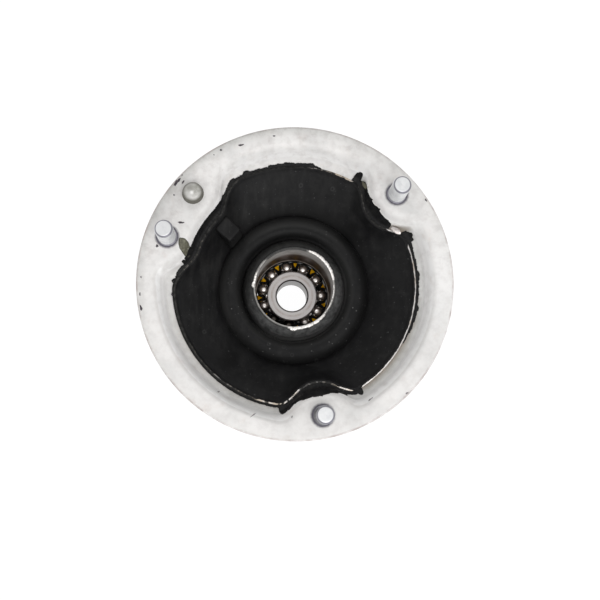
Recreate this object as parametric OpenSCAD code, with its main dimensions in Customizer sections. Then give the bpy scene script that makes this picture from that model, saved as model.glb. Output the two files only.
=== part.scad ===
// Front strut mount: a three-stud pressed flange carries a rubber-bonded well,
// and a self-aligning ball bearing sits in a steel cup at the bottom of the well.
// Z = 0 is the flange face that meets the strut tower, and the studs point up.

/* [Flange] */
// Outer diameter of the flange
flange_d = 140; // [126:0.5:154]
// Width of the flange from its outer edge in to the shell's rim
flange_w = 14.7; // [14:0.1:15.4]
// Thickness of the flange sheet
flange_t = 2.5; // [2:0.1:3]
// Radius of the bend at the top of the step, on the upper side
bend_r = 4; // [3.4:0.1:4.6]
// Steepness of the step from the flat face down to the ledge, in degrees
step_angle = 80; // [76:1:84]
// Radius of the hollow at the foot of the step
foot_r = 2.5; // [1.5:0.1:3]
// Width of the ledge round the shell's rim
ledge_w = 3.4; // [2.6:0.1:4]
// Slope of the ledge, in degrees
ledge_angle = 20; // [14:1:26]
// How far the flange's collar reaches down past the shell's rim
collar_lap = 5; // [3:0.5:7]
// Bevel round the outer edge of the flange
edge_bevel = 0.6; // [0.3:0.1:1]

/* [Studs and pin] */
// Distance from the stud circle out to the flange's edge
stud_edge = 10; // [9:0.5:11]
// Angle of the first stud from +X, in degrees
stud_angle = 41.2; // [36:0.2:46]
// Thread diameter of the studs
stud_d = 8; // [7:0.5:9]
// Height of the studs above the flange face
stud_h = 17; // [14:0.5:24]
// Chamfer at the stud's end
stud_chamfer = 0.9; // [0.5:0.1:1.2]
// Diameter of the stud's knurled shank in the flange
shank_d = 9.2; // [9.1:0.1:10]
// Diameter of the stud's head under the flange
head_d = 13; // [12:0.5:14]
// Thickness of the stud's head
head_t = 2.4; // [1.8:0.2:3]
// Diameter of the locating pin
pin_d = 9; // [8:0.5:9]
// Diameter of the locating pin's shank in the flange
pin_shank_d = 9.6; // [9.2:0.2:10.4]
// Height of the locating pin above the flange face
pin_h = 4.6; // [3.6:0.2:6]
// Angle of the locating pin from +X, in degrees
pin_angle = 139.7; // [136:0.2:142]

/* [Shell] */
// Depth of the shell's rim below the flange face
rim_depth = 12; // [11:0.5:13]
// Slope of the shell's wall, in degrees
wall_angle = 70; // [68:1:74]
// Thickness of the shell sheet
shell_t = 1.5; // [1.2:0.1:2]
// Depth of the shell's floor below the flange face
floor_depth = 44; // [42:0.5:46]
// Diameter of the opening in the shell's floor
floor_hole_d = 66; // [62:1:70]
// Radius of each notch, from a stud's axis to the shell's outer face
notch_r = 13; // [12:0.2:14]
// Radius that rounds the corners beside each notch
corner_r = 5; // [4:0.2:6]
// Slope, at the rim, of the straight flanks of the notches that go round one stud
stud_flank = 35; // [32:1:45]
// Slope, at the rim, of the flanks of the wide notch, which goes round a stud and the pin
pin_flank = 25; // [22:1:32]

/* [Rubber] */
// Depth of the valley between the outer slope and the bulge
valley_depth = 29.6; // [28:0.2:31]
// Diameter of that valley
valley_d = 69.6; // [68:0.4:72]
// Depth of the bulge's crest
bulge_depth = 25.2; // [24:0.2:27]
// Diameter of the bulge's crest
bulge_d = 57.6; // [55:0.4:60]
// Depth of the groove beside the neck
groove_depth = 31; // [30:0.2:33]
// Diameter of the groove beside the neck
groove_d = 48; // [47:0.2:50]
// Thickness of the rubber round the neck
collar_t = 4.1; // [3.4:0.1:4.4]
// Thickness of the skin that laps onto the flange at the notches
skin_t = 0.6; // [0.4:0.1:1]
// Depth at which that skin ends
skin_depth = 5; // [4:0.2:7]
// Width of the pointer block
tab_w = 8; // [6:0.5:9]
// Length of the pointer block, inwards from the shell
tab_l = 9.6; // [7:0.2:11]
// Depth of the pointer block's top
tab_depth = 13.4; // [12.8:0.2:16]

/* [Bearing cup] */
// Depth of the neck's rim below the flange face
neck_depth = 20.8; // [20:0.2:23]
// Bore of the neck
neck_bore = 36; // [34.4:0.2:36.6]
// Wall of the neck and of the cup
cup_wall = 1.1; // [1:0.1:1.4]
// Width of the rolled lip that holds the bearing in
lip_w = 2; // [1.4:0.1:2.4]
// Diameter of the support plate
plate_d = 80; // [76:1:86]
// Thickness of the support plate
plate_t = 2.2; // [1.8:0.1:2.6]
// Drop of the support plate's rim
plate_drop = 7; // [6.6:0.2:9]
// Height of the support plate above the bearing's lower face
plate_up = 5; // [4:0.2:5.2]

/* [Bearing] */
// Bore of the inner ring
bore_d = 15; // [12:0.5:16]
// Width of the inner ring
inner_w = 15; // [14:0.2:16]
// Height of the inner ring's shoulders above the bottom of its grooves
shoulder_h = 0.72; // [0.5:0.02:1]
// Depth of the inner ring's upper face below the flange face
inner_depth = 48.8; // [47.6:0.2:50]
// Outer diameter of the outer ring
outer_d = 42; // [40:0.2:46]
// Thickness of the outer ring at the middle of its raceway, where it is thinnest
race_wall = 2.6; // [2:0.1:3]
// Width of the outer ring
outer_w = 13; // [12.4:0.2:13.4]
// Diameter of the balls
ball_d = 6.35; // [6:0.05:6.5]
// Distance between the two rows of balls
row_gap = 6.9; // [6.7:0.1:7.2]
// Balls in each row
balls_per_row = 11; // [9:1:11]
// Angle of the first ball of the upper row from +X, in degrees
ball_angle = 100.5; // [0:0.5:180]
// Running clearance between the balls and the raceways
race_gap = 0.06; // [0.04:0.01:0.1]
// Clearance of the balls in the cage
pocket_gap = 0.12; // [0.08:0.02:0.2]
// Height of the cage
cage_h = 10; // [9:0.2:10.4]

/* [Hidden] */
$fn = 96;

FAR = 1000;
flange_r = flange_d / 2;
rim_r = flange_r - flange_w;
stud_r = flange_r - stud_edge;
stud_angles = [for (i = [0:2]) stud_angle + 120 * i];
// Each notch covers one stud, and the last one also takes in the locating pin
notch_spans = [
    [stud_angles[2] - 360, stud_angles[2] - 360],
    [stud_angles[0], stud_angles[0]],
    [min(pin_angle, stud_angles[1]), max(pin_angle, stud_angles[1])]];
notch_flanks = [stud_flank, stud_flank, pin_flank];
notch_growth = [1.4, 0.4, 0];
top_flank = 70;
notch_margin = 24;
fine_step = 2;
coarse_step = 6;

// Lobed outlines: a circle with a round notch at each stud

// Radius, on a ray that lies phi past a notch, of the near side of a circle about its centre. Where that
// side gets as steep as the flank, a straight flank that touches the circle goes on outwards from it.
function near_side(phi, centre, radius, flank) =
    let (touch = atan2(radius * sin(flank), centre - radius * cos(flank)))
    phi < touch ? centre * cos(phi) - sqrt(radius * radius - pow(centre * sin(phi), 2))
    : phi + flank < 88 ? (centre * cos(flank) - radius) / cos(phi + flank)
    : FAR;
// Angle past the end of a notch's span, which is 0 within the span
function past(angle, span) =
    let (mid = (span[0] + span[1]) / 2,
         turn = angle - mid - 360 * round((angle - mid) / 360))
    max(abs(turn) - (span[1] - span[0]) / 2, 0);
// The level is 0 at the flat face and 1 at the rim and below
function notch_side(angle, centre, radius, level) =
    min([for (i = [0:2]) near_side(
        past(angle, notch_spans[i]), centre, radius + level * notch_growth[i],
        mix(top_flank, notch_flanks[i], level))]);
// The smaller of two radii, with the corner between them rounded
function blend(a, b) =
    let (share = max(corner_r - abs(a - b), 0) / corner_r)
    min(a, b) - share * share * corner_r / 4;

// Angles from one value up to another, in even steps, without the last
function steps(from, to, step) =
    let (n = ceil((to - from) / step)) [for (i = [0:n - 1]) from + i * (to - from) / n];
// Angles round the outline, closer together at the notches
outline_angles = [for (i = [0:2])
    let (low = notch_spans[i][0] - notch_margin, high = notch_spans[i][1] + notch_margin,
         next = notch_spans[(i + 1) % 3][0] - notch_margin + (i == 2 ? 360 : 0))
    each concat(steps(low, high, fine_step), steps(high, next, coarse_step))];

// The well, which the flange, the shell and the rubber share: a step down from the flat face, a ledge,
// and below it the shell's wall. A turn is the slope of the upper side at a point.

function wall_r(z) = rim_r + (z + rim_depth) / tan(wall_angle);
ledge_end = [rim_r + ledge_w, -rim_depth + ledge_w * tan(ledge_angle)];
step_top_r = ledge_end[0] - ledge_end[1] / tan(step_angle);
well_r = step_top_r + bend_r * tan(step_angle / 2);
foot_tangent = foot_r * tan((step_angle - ledge_angle) / 2);
foot_centre = [
    ledge_end[0] + foot_tangent * cos(step_angle) - foot_r * sin(step_angle),
    ledge_end[1] + foot_tangent * sin(step_angle) + foot_r * cos(step_angle)];
function bend_point(turn) = [well_r - bend_r * sin(turn), -bend_r * (1 - cos(turn))];
function foot_point(turn) = foot_centre + foot_r * [sin(turn), -cos(turn)];
// The notch circle moves inwards and shrinks from the bend down to the rim, and widens a little below
pad_shift = 15;
pad_reach = 7.5;
notch_taper = 0.14;
function drop_share(radius) = min(1, (well_r - radius) / (well_r - rim_r));
function notch_centre(radius) = stud_r + pad_shift * (1 - drop_share(radius));
function notch_radius(radius) =
    notch_r + (pad_shift + pad_reach - notch_r) * (1 - drop_share(radius))
    + notch_taper * max(rim_r - radius, 0);
function polar(angle, r, z) = [r * cos(angle), r * sin(angle), z];
// A point of the wall: station is the radius of its upper side, the offset outwards, and the height
function wall_point(angle, station) = polar(
    angle,
    blend(station[0] + station[1],
          notch_side(angle, notch_centre(station[0]), notch_radius(station[0]) - station[1],
                     drop_share(station[0]))),
    station[2]);
function wall_ring(station) = [for (angle = outline_angles) wall_point(angle, station)];
function round_ring(corner) = [for (angle = outline_angles) polar(angle, corner[0], corner[1])];

// A closed skin through rings of points that go round the section of a ring-shaped solid. Two solids that
// share a wall go along it in opposite directions, so one of them has its facets crossed the other way.
module ring_loft(rings, crossed = false) {
    m = len(rings);
    n = len(rings[0]);
    polyhedron(
        points = [for (ring = rings) each ring],
        faces = [for (i = [0:m - 1]) for (j = [0:n - 1])
            let (a = i * n + j, b = i * n + (j + 1) % n,
                 c = ((i + 1) % m) * n + (j + 1) % n, d = ((i + 1) % m) * n + j)
            each crossed ? [[a, d, b], [b, d, c]] : [[a, c, b], [a, d, c]]]);
}

// Flange, studs and locating pin

bend_turns = [for (i = [0:4]) step_angle * i / 4];
foot_turns = [for (i = [0:3]) step_angle + (ledge_angle - step_angle) * i / 3];
collar_end = -rim_depth - collar_lap;
rim_turn = (ledge_angle + wall_angle) / 2;
rim_mitre = 1 / cos((wall_angle - ledge_angle) / 2);
// Points of the upper side from the flat face down to the collar's end, each with its turn and mitre
flange_side = concat(
    [for (turn = bend_turns) [bend_point(turn), turn, 1]],
    [for (turn = foot_turns) [foot_point(turn), turn, 1]],
    [[[rim_r, -rim_depth], rim_turn, rim_mitre], [[wall_r(collar_end), collar_end], wall_angle, 1]]);
// The same point, set in from the upper side by a depth
function sheet_station(item, depth) =
    [item[0][0], depth * item[2] * sin(item[1]), item[0][1] - depth * item[2] * cos(item[1])];
flange_edge = [
    [flange_r - edge_bevel, -flange_t], [flange_r, edge_bevel - flange_t],
    [flange_r, -edge_bevel], [flange_r - edge_bevel, 0]];
flange_wall = concat(
    [for (item = flange_side) sheet_station(item, 0)],
    [for (i = [len(flange_side) - 1:-1:0]) sheet_station(flange_side[i], flange_t)]);

module at_studs() {
    for (angle = stud_angles)
        rotate(angle) translate([stud_r, 0, 0]) children();
}

module at_pin() {
    rotate(pin_angle) translate([stud_r, 0, 0]) children();
}

module flange_plate() {
    color("gainsboro")
    difference() {
        ring_loft(concat([for (corner = flange_edge) round_ring(corner)],
                         [for (station = flange_wall) wall_ring(station)]));
        at_studs() translate([0, 0, -2 * flange_t]) cylinder(d = shank_d, h = 3 * flange_t);
        at_pin() translate([0, 0, -2 * flange_t]) cylinder(d = pin_shank_d, h = 3 * flange_t);
    }
}

// Three press-in studs: head under the flange, knurled shank in it, thread above it
module studs() {
    head_bottom = -flange_t - head_t;
    head_bevel = head_t / 4;
    color("silver")
    at_studs() rotate_extrude() polygon([
        [0, head_bottom], [head_d / 2 - head_bevel, head_bottom],
        [head_d / 2, head_bottom + head_bevel], [head_d / 2, -flange_t],
        [shank_d / 2, -flange_t], [shank_d / 2, 0], [stud_d / 2, 0],
        [stud_d / 2, stud_h - stud_chamfer], [stud_d / 2 - stud_chamfer, stud_h], [0, stud_h]]);
}

// Domed pin, riveted under the flange
module locating_pin() {
    dome_h = pin_d / 4;
    foot_r = pin_shank_d / 2 + 1.2;
    foot_t = head_t / 2;
    color("darkgray")
    at_pin() rotate_extrude() polygon(concat(
        [[0, -flange_t - foot_t], [foot_r, -flange_t - foot_t], [foot_r, -flange_t],
         [pin_shank_d / 2, -flange_t], [pin_shank_d / 2, 0], [pin_d / 2, 0]],
        [for (turn = [0:15:90]) [pin_d / 2 * cos(turn), pin_h - dome_h + dome_h * sin(turn)]]));
}

// Shell: its wall lies on the flange wall and turns into a floor with a wide hole

shell_offset = -shell_t / sin(wall_angle);
floor_round = 4;
floor_hole_r = floor_hole_d / 2;
floor_centre = [wall_r(-floor_depth) - floor_round * tan(wall_angle / 2), floor_round - floor_depth];
wall_depths = [for (share = [0.25, 0.6]) rim_depth + share * (floor_depth - rim_depth)];
floor_turns = [for (share = [0:0.5:1]) wall_angle * share];
// Corner between wall and floor: turn 0 is on the floor, and inset is how far inside the outer face
function floor_station(turn, inset) =
    let (outer = floor_centre[0] + floor_round * sin(turn))
    [outer, -inset * sin(turn), floor_centre[1] - (floor_round - inset) * cos(turn)];
shell_inner = concat(
    [[rim_r, shell_offset, -rim_depth]],
    [for (depth = wall_depths) [wall_r(-depth), shell_offset, -depth]],
    [for (i = [2:-1:0]) floor_station(floor_turns[i], shell_t)]);
shell_outer = concat(
    [for (turn = floor_turns) floor_station(turn, 0)],
    [for (i = [1:-1:0]) [wall_r(-wall_depths[i]), 0, -wall_depths[i]]],
    [[rim_r, 0, -rim_depth]]);

module outer_shell() {
    blank_r = floor_hole_r - 2;
    color("dimgray")
    difference() {
        ring_loft(concat(
            [for (station = shell_inner) wall_ring(station)],
            [round_ring([blank_r, shell_t - floor_depth]), round_ring([blank_r, -floor_depth])],
            [for (station = shell_outer) wall_ring(station)]));
        translate([0, 0, -floor_depth - shell_t]) cylinder(r = floor_hole_r, h = 3 * shell_t);
    }
}

// Bearing seat: heights that the cup, the plate, the rubber and the bearing share

bearing_z = -inner_depth - inner_w / 2;
seat_top = bearing_z + outer_w / 2;
seat_bottom = bearing_z - outer_w / 2;
seat_r = outer_d / 2;
cup_r = seat_r + cup_wall;
neck_r = neck_bore / 2 + cup_wall;
shoulder_top = seat_top + cup_wall;
plate_top = seat_bottom + plate_up;
// Outer side of the cup from its neck to the height of the support plate
cup_side = [
    [neck_r, -neck_depth], [neck_r, shoulder_top + cup_wall], [neck_r + cup_wall, shoulder_top],
    [cup_r - cup_wall, shoulder_top], [cup_r, shoulder_top - cup_wall]];

module bearing_cup() {
    lip_bottom = seat_bottom - cup_wall;
    color("rosybrown")
    rotate_extrude() polygon(concat(cup_side, [
        [cup_r, seat_bottom], [cup_r - cup_wall, lip_bottom],
        [seat_r - lip_w, lip_bottom], [seat_r - lip_w, seat_bottom], [seat_r, seat_bottom],
        [seat_r, seat_top], [neck_bore / 2, seat_top], [neck_bore / 2, -neck_depth]]));
}

// Dished plate, welded round the cup, whose rim turns down
module support_plate() {
    plate_r = plate_d / 2;
    rim_round = 2 * plate_t;
    turns = [0:15:90];
    function rim_arc(r) = [for (turn = turns)
        [plate_r - rim_round + r * sin(turn), plate_top - rim_round + r * cos(turn)]];
    inner_arc = rim_arc(rim_round - plate_t);
    rim_bottom = plate_top - plate_drop;
    color("dimgray")
    rotate_extrude() polygon(concat(
        [[cup_r, plate_top]], rim_arc(rim_round),
        [[plate_r, rim_bottom], [plate_r - plate_t, rim_bottom]],
        [for (i = [len(inner_arc) - 1:-1:0]) inner_arc[i]],
        [[cup_r, plate_top - plate_t]]));
}

// Rubber, bonded to the shell and to the cup

valley_r = valley_d / 2;
bulge_r = bulge_d / 2;
groove_r = groove_d / 2;
collar_r = neck_r + collar_t;
core_r = valley_r + 1.4;
core_overlap = 2.5;
half_steps = 8;
// Half a wave from one point to another, level at both ends, without the last point
function half_wave(from, to) = [for (i = [0:half_steps - 1])
    let (share = i / half_steps)
    [from[0] + (to[0] - from[0]) * share,
     from[1] + (to[1] - from[1]) * (1 - cos(180 * share)) / 2]];
collar_h = groove_depth - neck_depth - 4.5;
collar_top = -neck_depth - 0.5;
collar_arc = [for (turn = [0:15:90])
    [neck_r + collar_t * sin(turn), collar_top - collar_h * (1 - cos(turn))]];
// Free side of the pad between the shell's floor and the support plate
pad_top_r = floor_hole_r + 7;
pad_waist = 2;
pad_bottom_r = plate_d / 2 - 3 * plate_t;
pad_side = [for (share = [0:0.125:1])
    [pad_top_r + (pad_bottom_r - pad_top_r) * share - pad_waist * sin(180 * share),
     -floor_depth + (plate_top + floor_depth) * share]];
core_section = concat(
    collar_arc,
    half_wave([groove_r, -groove_depth], [bulge_r, -bulge_depth]),
    half_wave([bulge_r, -bulge_depth], [valley_r, -valley_depth]),
    [[valley_r, -valley_depth], [core_r, -valley_depth - 0.4],
     [floor_hole_r, shell_t - floor_depth], [floor_hole_r, -floor_depth]],
    pad_side,
    [[cup_r, plate_top]],
    [for (i = [len(cup_side) - 1:-1:1]) cup_side[i]]);

// Outer slope: it follows the lobed rim at the shell and turns round towards the valley
slope_shares = [0.8, 0.55, 0.3, 0.1];
slope_top_r = rim_r + shell_offset;
slope_notch_r = notch_r - shell_offset;
slope_end_r = core_r + 0.5;
slope_end_notch_r = stud_r - slope_end_r - 4;
function mix(a, b, share) = a + (b - a) * share;
function slope_ring(share) = [for (angle = outline_angles) polar(
    angle,
    blend(mix(slope_end_r, slope_top_r, share),
          notch_side(angle, stud_r, mix(slope_end_notch_r, slope_notch_r, share), 1)),
    mix(-valley_depth, -rim_depth, pow(share, 1.15)))];

// Lap over the shell's rim: a narrow lip between the notches, and at each notch a skin that goes on over
// the ledge and up the step
skin_reach = 14;
skin_least = 0.08;
skin_path = concat(
    [[[rim_r, shell_offset, -rim_depth], ledge_angle], [[rim_r, 0, -rim_depth], ledge_angle]],
    [for (i = [3:-1:0]) [[foot_point(foot_turns[i])[0], 0, foot_point(foot_turns[i])[1]], foot_turns[i]]],
    [[[step_top_r - skin_depth / tan(step_angle), 0, -skin_depth], step_angle]]);
skin_last = len(skin_path) - 1;
function skin_share(angle) =
    let (gap = min([for (span = notch_spans) past(angle, span)]))
    gap < skin_reach ? mix(skin_least, 1, cos(90 * gap / skin_reach)) : skin_least;
// A point of the lap at a share of its own length, raised from what it lies on by a height
function skin_point(angle, share, height) =
    let (place = skin_share(angle) * share * skin_last, i = min(floor(place), skin_last - 1),
         station = mix(skin_path[i][0], skin_path[i + 1][0], place - i),
         turn = mix(skin_path[i][1], skin_path[i + 1][1], place - i))
    wall_point(angle, station + height * [0, -sin(turn), cos(turn)]);
function skin_ring(i, height) = [for (angle = outline_angles) skin_point(angle, i / skin_last, height)];

module rubber_slope() {
    inner_r = floor_hole_r - core_overlap;
    ring_loft(concat(
        [for (i = [skin_last - 1:-1:0]) skin_ring(i, skin_t)],
        [for (share = slope_shares) slope_ring(share)],
        [round_ring([slope_end_r, -valley_depth]),
         round_ring([inner_r, -valley_depth - core_overlap]),
         round_ring([inner_r, shell_t - floor_depth])],
        [for (turn = floor_turns) wall_ring(floor_station(turn, shell_t))],
        [for (i = [1:-1:0]) wall_ring([wall_r(-wall_depths[i]), shell_offset, -wall_depths[i]])],
        [for (i = [0:skin_last]) skin_ring(i, 0)]), crossed = true);
}

// Block that points at the locating pin: its plan, cut by its side view, whose outer end follows the shell
module pointer_tab() {
    corner = 1;
    end_gap = 0.5;
    top = -tab_depth;
    root = -valley_depth - 1;
    function outer_end(z) = stud_r - notch_radius(wall_r(z)) + shell_offset - end_gap;
    inner_end = outer_end(top) - tab_l;
    rotate(pin_angle) intersection() {
        translate([inner_end, 0, root]) linear_extrude(height = top - root) polygon([
            [0, corner - tab_w / 2], [corner, -tab_w / 2], [tab_l, -tab_w / 2],
            [tab_l, tab_w / 2], [corner, tab_w / 2], [0, tab_w / 2 - corner]]);
        rotate([90, 0, 0]) linear_extrude(height = tab_w, center = true) polygon([
            [inner_end, root], [outer_end(root), root], [outer_end(top), top], [inner_end, top]]);
    }
}

module rubber_body() {
    color([0.13, 0.13, 0.14])
    union() {
        rotate_extrude() polygon(core_section);
        rubber_slope();
        pointer_tab();
    }
}

// Self-aligning bearing: both rows of balls run in one spherical raceway

ball_r = ball_d / 2;
row_z = row_gap / 2;
ring_bevel = 0.5;
race_r = seat_r - race_wall;
pitch_r = sqrt(pow(race_r - ball_r - race_gap, 2) - row_z * row_z);
shoulder_r = pitch_r - ball_r - race_gap + shoulder_h;

// Section of a ring with bevelled edges, from its bore to its outside
module ring_blank(inner_r, outer_r, width) {
    h = width / 2;
    b = ring_bevel;
    rotate_extrude() polygon([
        [inner_r + b, -h], [outer_r - b, -h], [outer_r, b - h], [outer_r, h - b],
        [outer_r - b, h], [inner_r + b, h], [inner_r, h - b], [inner_r, b - h]]);
}

module outer_ring() {
    color("slategray")
    translate([0, 0, bearing_z]) difference() {
        ring_blank(pitch_r, seat_r, outer_w);
        sphere(r = race_r);
    }
}

module inner_ring() {
    color("darkgray")
    translate([0, 0, bearing_z]) difference() {
        ring_blank(bore_d / 2, shoulder_r, inner_w);
        for (side = [-1, 1])
            translate([0, 0, side * row_z])
                rotate_extrude() translate([pitch_r, 0]) circle(r = ball_r + race_gap);
    }
}

// Places of the balls in one row: side 1 is the upper row, and the lower row lies half a step round
module at_ball(i, side) {
    pitch = 360 / balls_per_row;
    rotate(ball_angle + pitch * (i - 1 + (side > 0 ? 0 : 0.5)))
        translate([pitch_r, 0, bearing_z + side * row_z]) children();
}

module ball(i, side) {
    color("lightsteelblue")
    at_ball(i, side) sphere(r = ball_r);
}

// Moulded cage, with prongs that reach out between the balls and a low inner wall
module ball_cage() {
    outer_r = pitch_r + ball_r * 0.66;
    prong_r = pitch_r - ball_r * 0.25;
    inner_r = shoulder_r + 0.6;
    web_h = row_gap * 0.55;
    color("goldenrod")
    difference() {
        translate([0, 0, bearing_z]) rotate_extrude() polygon([
            [inner_r, -web_h / 2], [prong_r, -web_h / 2], [prong_r, -cage_h / 2],
            [outer_r, -cage_h / 2], [outer_r, cage_h / 2], [prong_r, cage_h / 2],
            [prong_r, web_h / 2], [inner_r, web_h / 2]]);
        for (side = [-1, 1]) for (i = [1:balls_per_row])
            at_ball(i, side) sphere(r = ball_r + pocket_gap);
    }
}

flange_plate();
outer_shell();
rubber_body();
bearing_cup();
support_plate();
studs();
locating_pin();
outer_ring();
inner_ring();
ball_cage();
for (i = [1:balls_per_row]) {
    ball(i, 1);
    ball(i, -1);
}
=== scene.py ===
"""Looks of a three-stud strut mount: painted flange, rubber-bonded well, and a ball bearing in its cup.

Lengths here are in millimetres and angles in degrees from +X, as in the part; the meshes are in metres.
"""

import bmesh
import bpy
import numpy as np
from mathutils import Matrix, Vector


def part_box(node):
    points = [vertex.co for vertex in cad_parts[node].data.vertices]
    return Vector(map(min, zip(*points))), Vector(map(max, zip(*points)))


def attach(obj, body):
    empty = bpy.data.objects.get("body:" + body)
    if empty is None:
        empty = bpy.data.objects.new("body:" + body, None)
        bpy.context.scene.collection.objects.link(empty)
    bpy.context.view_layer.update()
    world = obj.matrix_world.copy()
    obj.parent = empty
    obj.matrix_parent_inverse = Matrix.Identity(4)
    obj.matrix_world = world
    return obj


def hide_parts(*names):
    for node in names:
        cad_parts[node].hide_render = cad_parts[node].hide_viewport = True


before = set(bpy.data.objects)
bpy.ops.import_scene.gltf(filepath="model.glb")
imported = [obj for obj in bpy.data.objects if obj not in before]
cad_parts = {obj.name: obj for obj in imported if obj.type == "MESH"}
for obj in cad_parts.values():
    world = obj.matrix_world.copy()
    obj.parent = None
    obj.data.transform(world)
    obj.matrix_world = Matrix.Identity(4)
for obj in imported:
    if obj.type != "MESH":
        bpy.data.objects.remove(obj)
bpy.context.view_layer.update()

MM = 0.001


def low(node, axis):
    """Low end of a node's box along an axis."""
    return round(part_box(node)[0][axis] / MM, 2)


def high(node, axis):
    """High end of a node's box along an axis."""
    return round(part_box(node)[1][axis] / MM, 2)


# Sizes from the boxes of the parts in model.glb

FLANGE_R = high("flange_plate", 0)
RIM_R = high("outer_shell", 0)
RIM_Z = high("outer_shell", 2)
FLOOR_Z = low("outer_shell", 2)
STUD_TOP = high("studs", 2)
STUD_FOOT = low("studs", 2)
PIN_TOP = high("locating_pin", 2)
PIN_FOOT = low("locating_pin", 2)
NECK_Z = high("bearing_cup", 2)
CUP_FOOT = low("bearing_cup", 2)
CUP_R = high("bearing_cup", 0)
SEAT_R = high("outer_ring", 0)
SEAT_TOP = high("outer_ring", 2)
SEAT_FOOT = low("outer_ring", 2)
PLATE_TOP = high("support_plate", 2)
REST_Z = low("support_plate", 2)

# Flange: a flat face, a bend, a step down, a hollow at its foot and a ledge round the shell's rim

FLANGE_T = 2.5
EDGE_R = 0.7
BEND_R = 4.0
STEP_ANGLE = 80.0
FOOT_R = 2.5
LEDGE_W = 3.4
LEDGE_ANGLE = 20.0
COLLAR_END = RIM_Z - 5.0
# Point of the pressed side's profile from which the underside follows it
UNDER_START = 4

# Bands of painted shade and painted highlight by height: where each starts, is full, begins to fade, and
# ends
STEP_SHADE = (-9.8, -8.5, -7.0, -5.5)
BEND_HIGHLIGHT = (-5.4, -3.8, -1.9, -1.1)
# Height of the crease at the bend's top, along which a painted shade lies
CREASE_Z = -0.9
# Distance from the axis at which the painted highlight and the crease's painted shade set in, so that
# they stay off the stud pads
HIGHLIGHT_REACH = (58.5, 60.0)
CREASE_REACH = (60.2, 61.8)
# Soil near the rim: from, to, softness and strength, and how far out it fades to nothing
SOIL_ARCS = ((300, 352, 8, 0.75), (195, 262, 10, 0.25))
SOIL_END = 2.6
# Painted brown shadow beside the bare sliver: from, to and softness
SLIVER_SHADOW = (25.5, 32, 2)
# Lengths out from the rim up to which that shadow is full, and at which it ends
SLIVER_SHADOW_START, SLIVER_SHADOW_END = 1.0, 6.0
# Painted light that makes the pressed side's steep wall lighter, by length out from the rim
WALL_LIGHT_START, WALL_LIGHT_FULL, WALL_LIGHT_LAST, WALL_LIGHT_END = 2.5, 4.5, 9.5, 12.5
# Dull grey, a painted shade on the ledge, also greyer at the outer edge and at a pad: the side where the
# shade is strongest, its end past the rim, its width at the outer edge, and the arcs (from, to, softness)
# of a gap in it and of the stud pad that has some
DULL_SIDE = -60.0
DULL_END, DULL_FADE = 5.0, 3.0
DULL_EDGE_W = 4.5
DULL_GAP = (-82, -60, 10)
DULL_PAD = (262, 305, 14)
DULL_PAD_START, DULL_PAD_FULL = FLANGE_R - 3.0, FLANGE_R - 11.0
# Patches on the flat face: place, radius and, for the smudges, strength
WHITER_PATCH = (66.0, 0.0, 32.0)
SMUDGES = (
    (-52.5, 38.6, 6.0, 0.3), (-53.6, 31.0, 5.0, 0.22), (-64.5, 14.0, 6.0, 0.18), (4.6, 65.0, 7.0, 0.22),
    (26.0, 59.0, 8.0, 0.2), (-14.0, 64.5, 7.0, 0.2), (38.4, 38.2, 3.2, 0.28), (24.6, -61.0, 5.0, 0.16))

# Studs, pin and the notches round them

STUD_R = 60.0
EAST_STUD, WEST_STUD, SOUTH_STUD = 41.2, 161.2, 281.2
STUD_ANGLES = (EAST_STUD, WEST_STUD, SOUTH_STUD)
STUD_D = 8.0
STUD_CHAMFER = 0.9
SHANK_R = 4.6
HEAD_R = 6.5
THREAD_PITCH = 1.25
THREAD_DEPTH = 0.34
# Painted shade at the studs' feet: its heights up the stud, and its ring's radius and width on the flange
FOOT_SHADE_Z = (1.6, 0.6)
FOOT_SHADE_R, FOOT_SHADE_W = 4.5, 1.4
# Painted shade on one side of the last stud: from, to and softness; and how dull each stud's top is
SHADED_SIDE = (120, 290, 40)
STUD_TOP_DULL = (0.04, 0.4, 0.22)
PIN_ANGLE = 139.7
PIN_R = 4.5
PIN_SHANK_R = 4.8
PIN_FOOT_R = PIN_SHANK_R + 1.2
DOME_H = PIN_R * 0.55
# Span, flank and growth towards the rim of each notch; then what they share
NOTCH_SPANS = ((SOUTH_STUD, SOUTH_STUD), (EAST_STUD, EAST_STUD), (PIN_ANGLE, WEST_STUD))
NOTCH_FLANKS = (35.0, 35.0, 25.0)
NOTCH_GROWTH = (1.4, 0.4, 0.0)
TOP_FLANK = 70.0
NOTCH_R = 13.0
CORNER_R = 5.0
PAD_SHIFT = 15.0
PAD_REACH = 7.5
NOTCH_TAPER = 0.14
# Softening of the pressed sheet, more of it at the notches' corners, and how far past a notch those lie
SOFT_R = 1.0
SOFT_CORNER_R = 1.9
CORNER_TURN, CORNER_SPREAD = 12.0, 8.0
# Lengths out from the rim between which the softening sets in
SOFT_START, SOFT_FULL = 1.5, 4.5

# Shell

SHELL_T = 1.5
WALL_ANGLE = 70.0
FLOOR_ROUND = 4.0
FLOOR_HOLE_R = 33.0
BEAD_H = 0.35
# Bare metal on the rims: how softly it ends along them and across the shell's, and its line's own end
BARE_SOFT = 1.5
BARE_EDGE = 0.15
BARE_END_SOFT = 3.0

# Bearing and its cup

CUP_WALL = 1.1
NECK_R = 19.1
NECK_BORE = NECK_R - CUP_WALL
SHOULDER = SEAT_TOP + CUP_WALL
CUP_SHOULDER = ((NECK_R, SHOULDER + CUP_WALL), (NECK_R + CUP_WALL, SHOULDER),
                (CUP_R - CUP_WALL, SHOULDER), (CUP_R, SHOULDER - CUP_WALL))
LIP_W = 2.0
BROWN_Z = (-30.5, -36.5)
BALLS_PER_ROW = 11
BALL_ANGLE = 100.5
CAGE_APEX_R = 14.9
BORE_R = 7.5
FACE_STAIN_R = 9.9

# Rubber

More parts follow.
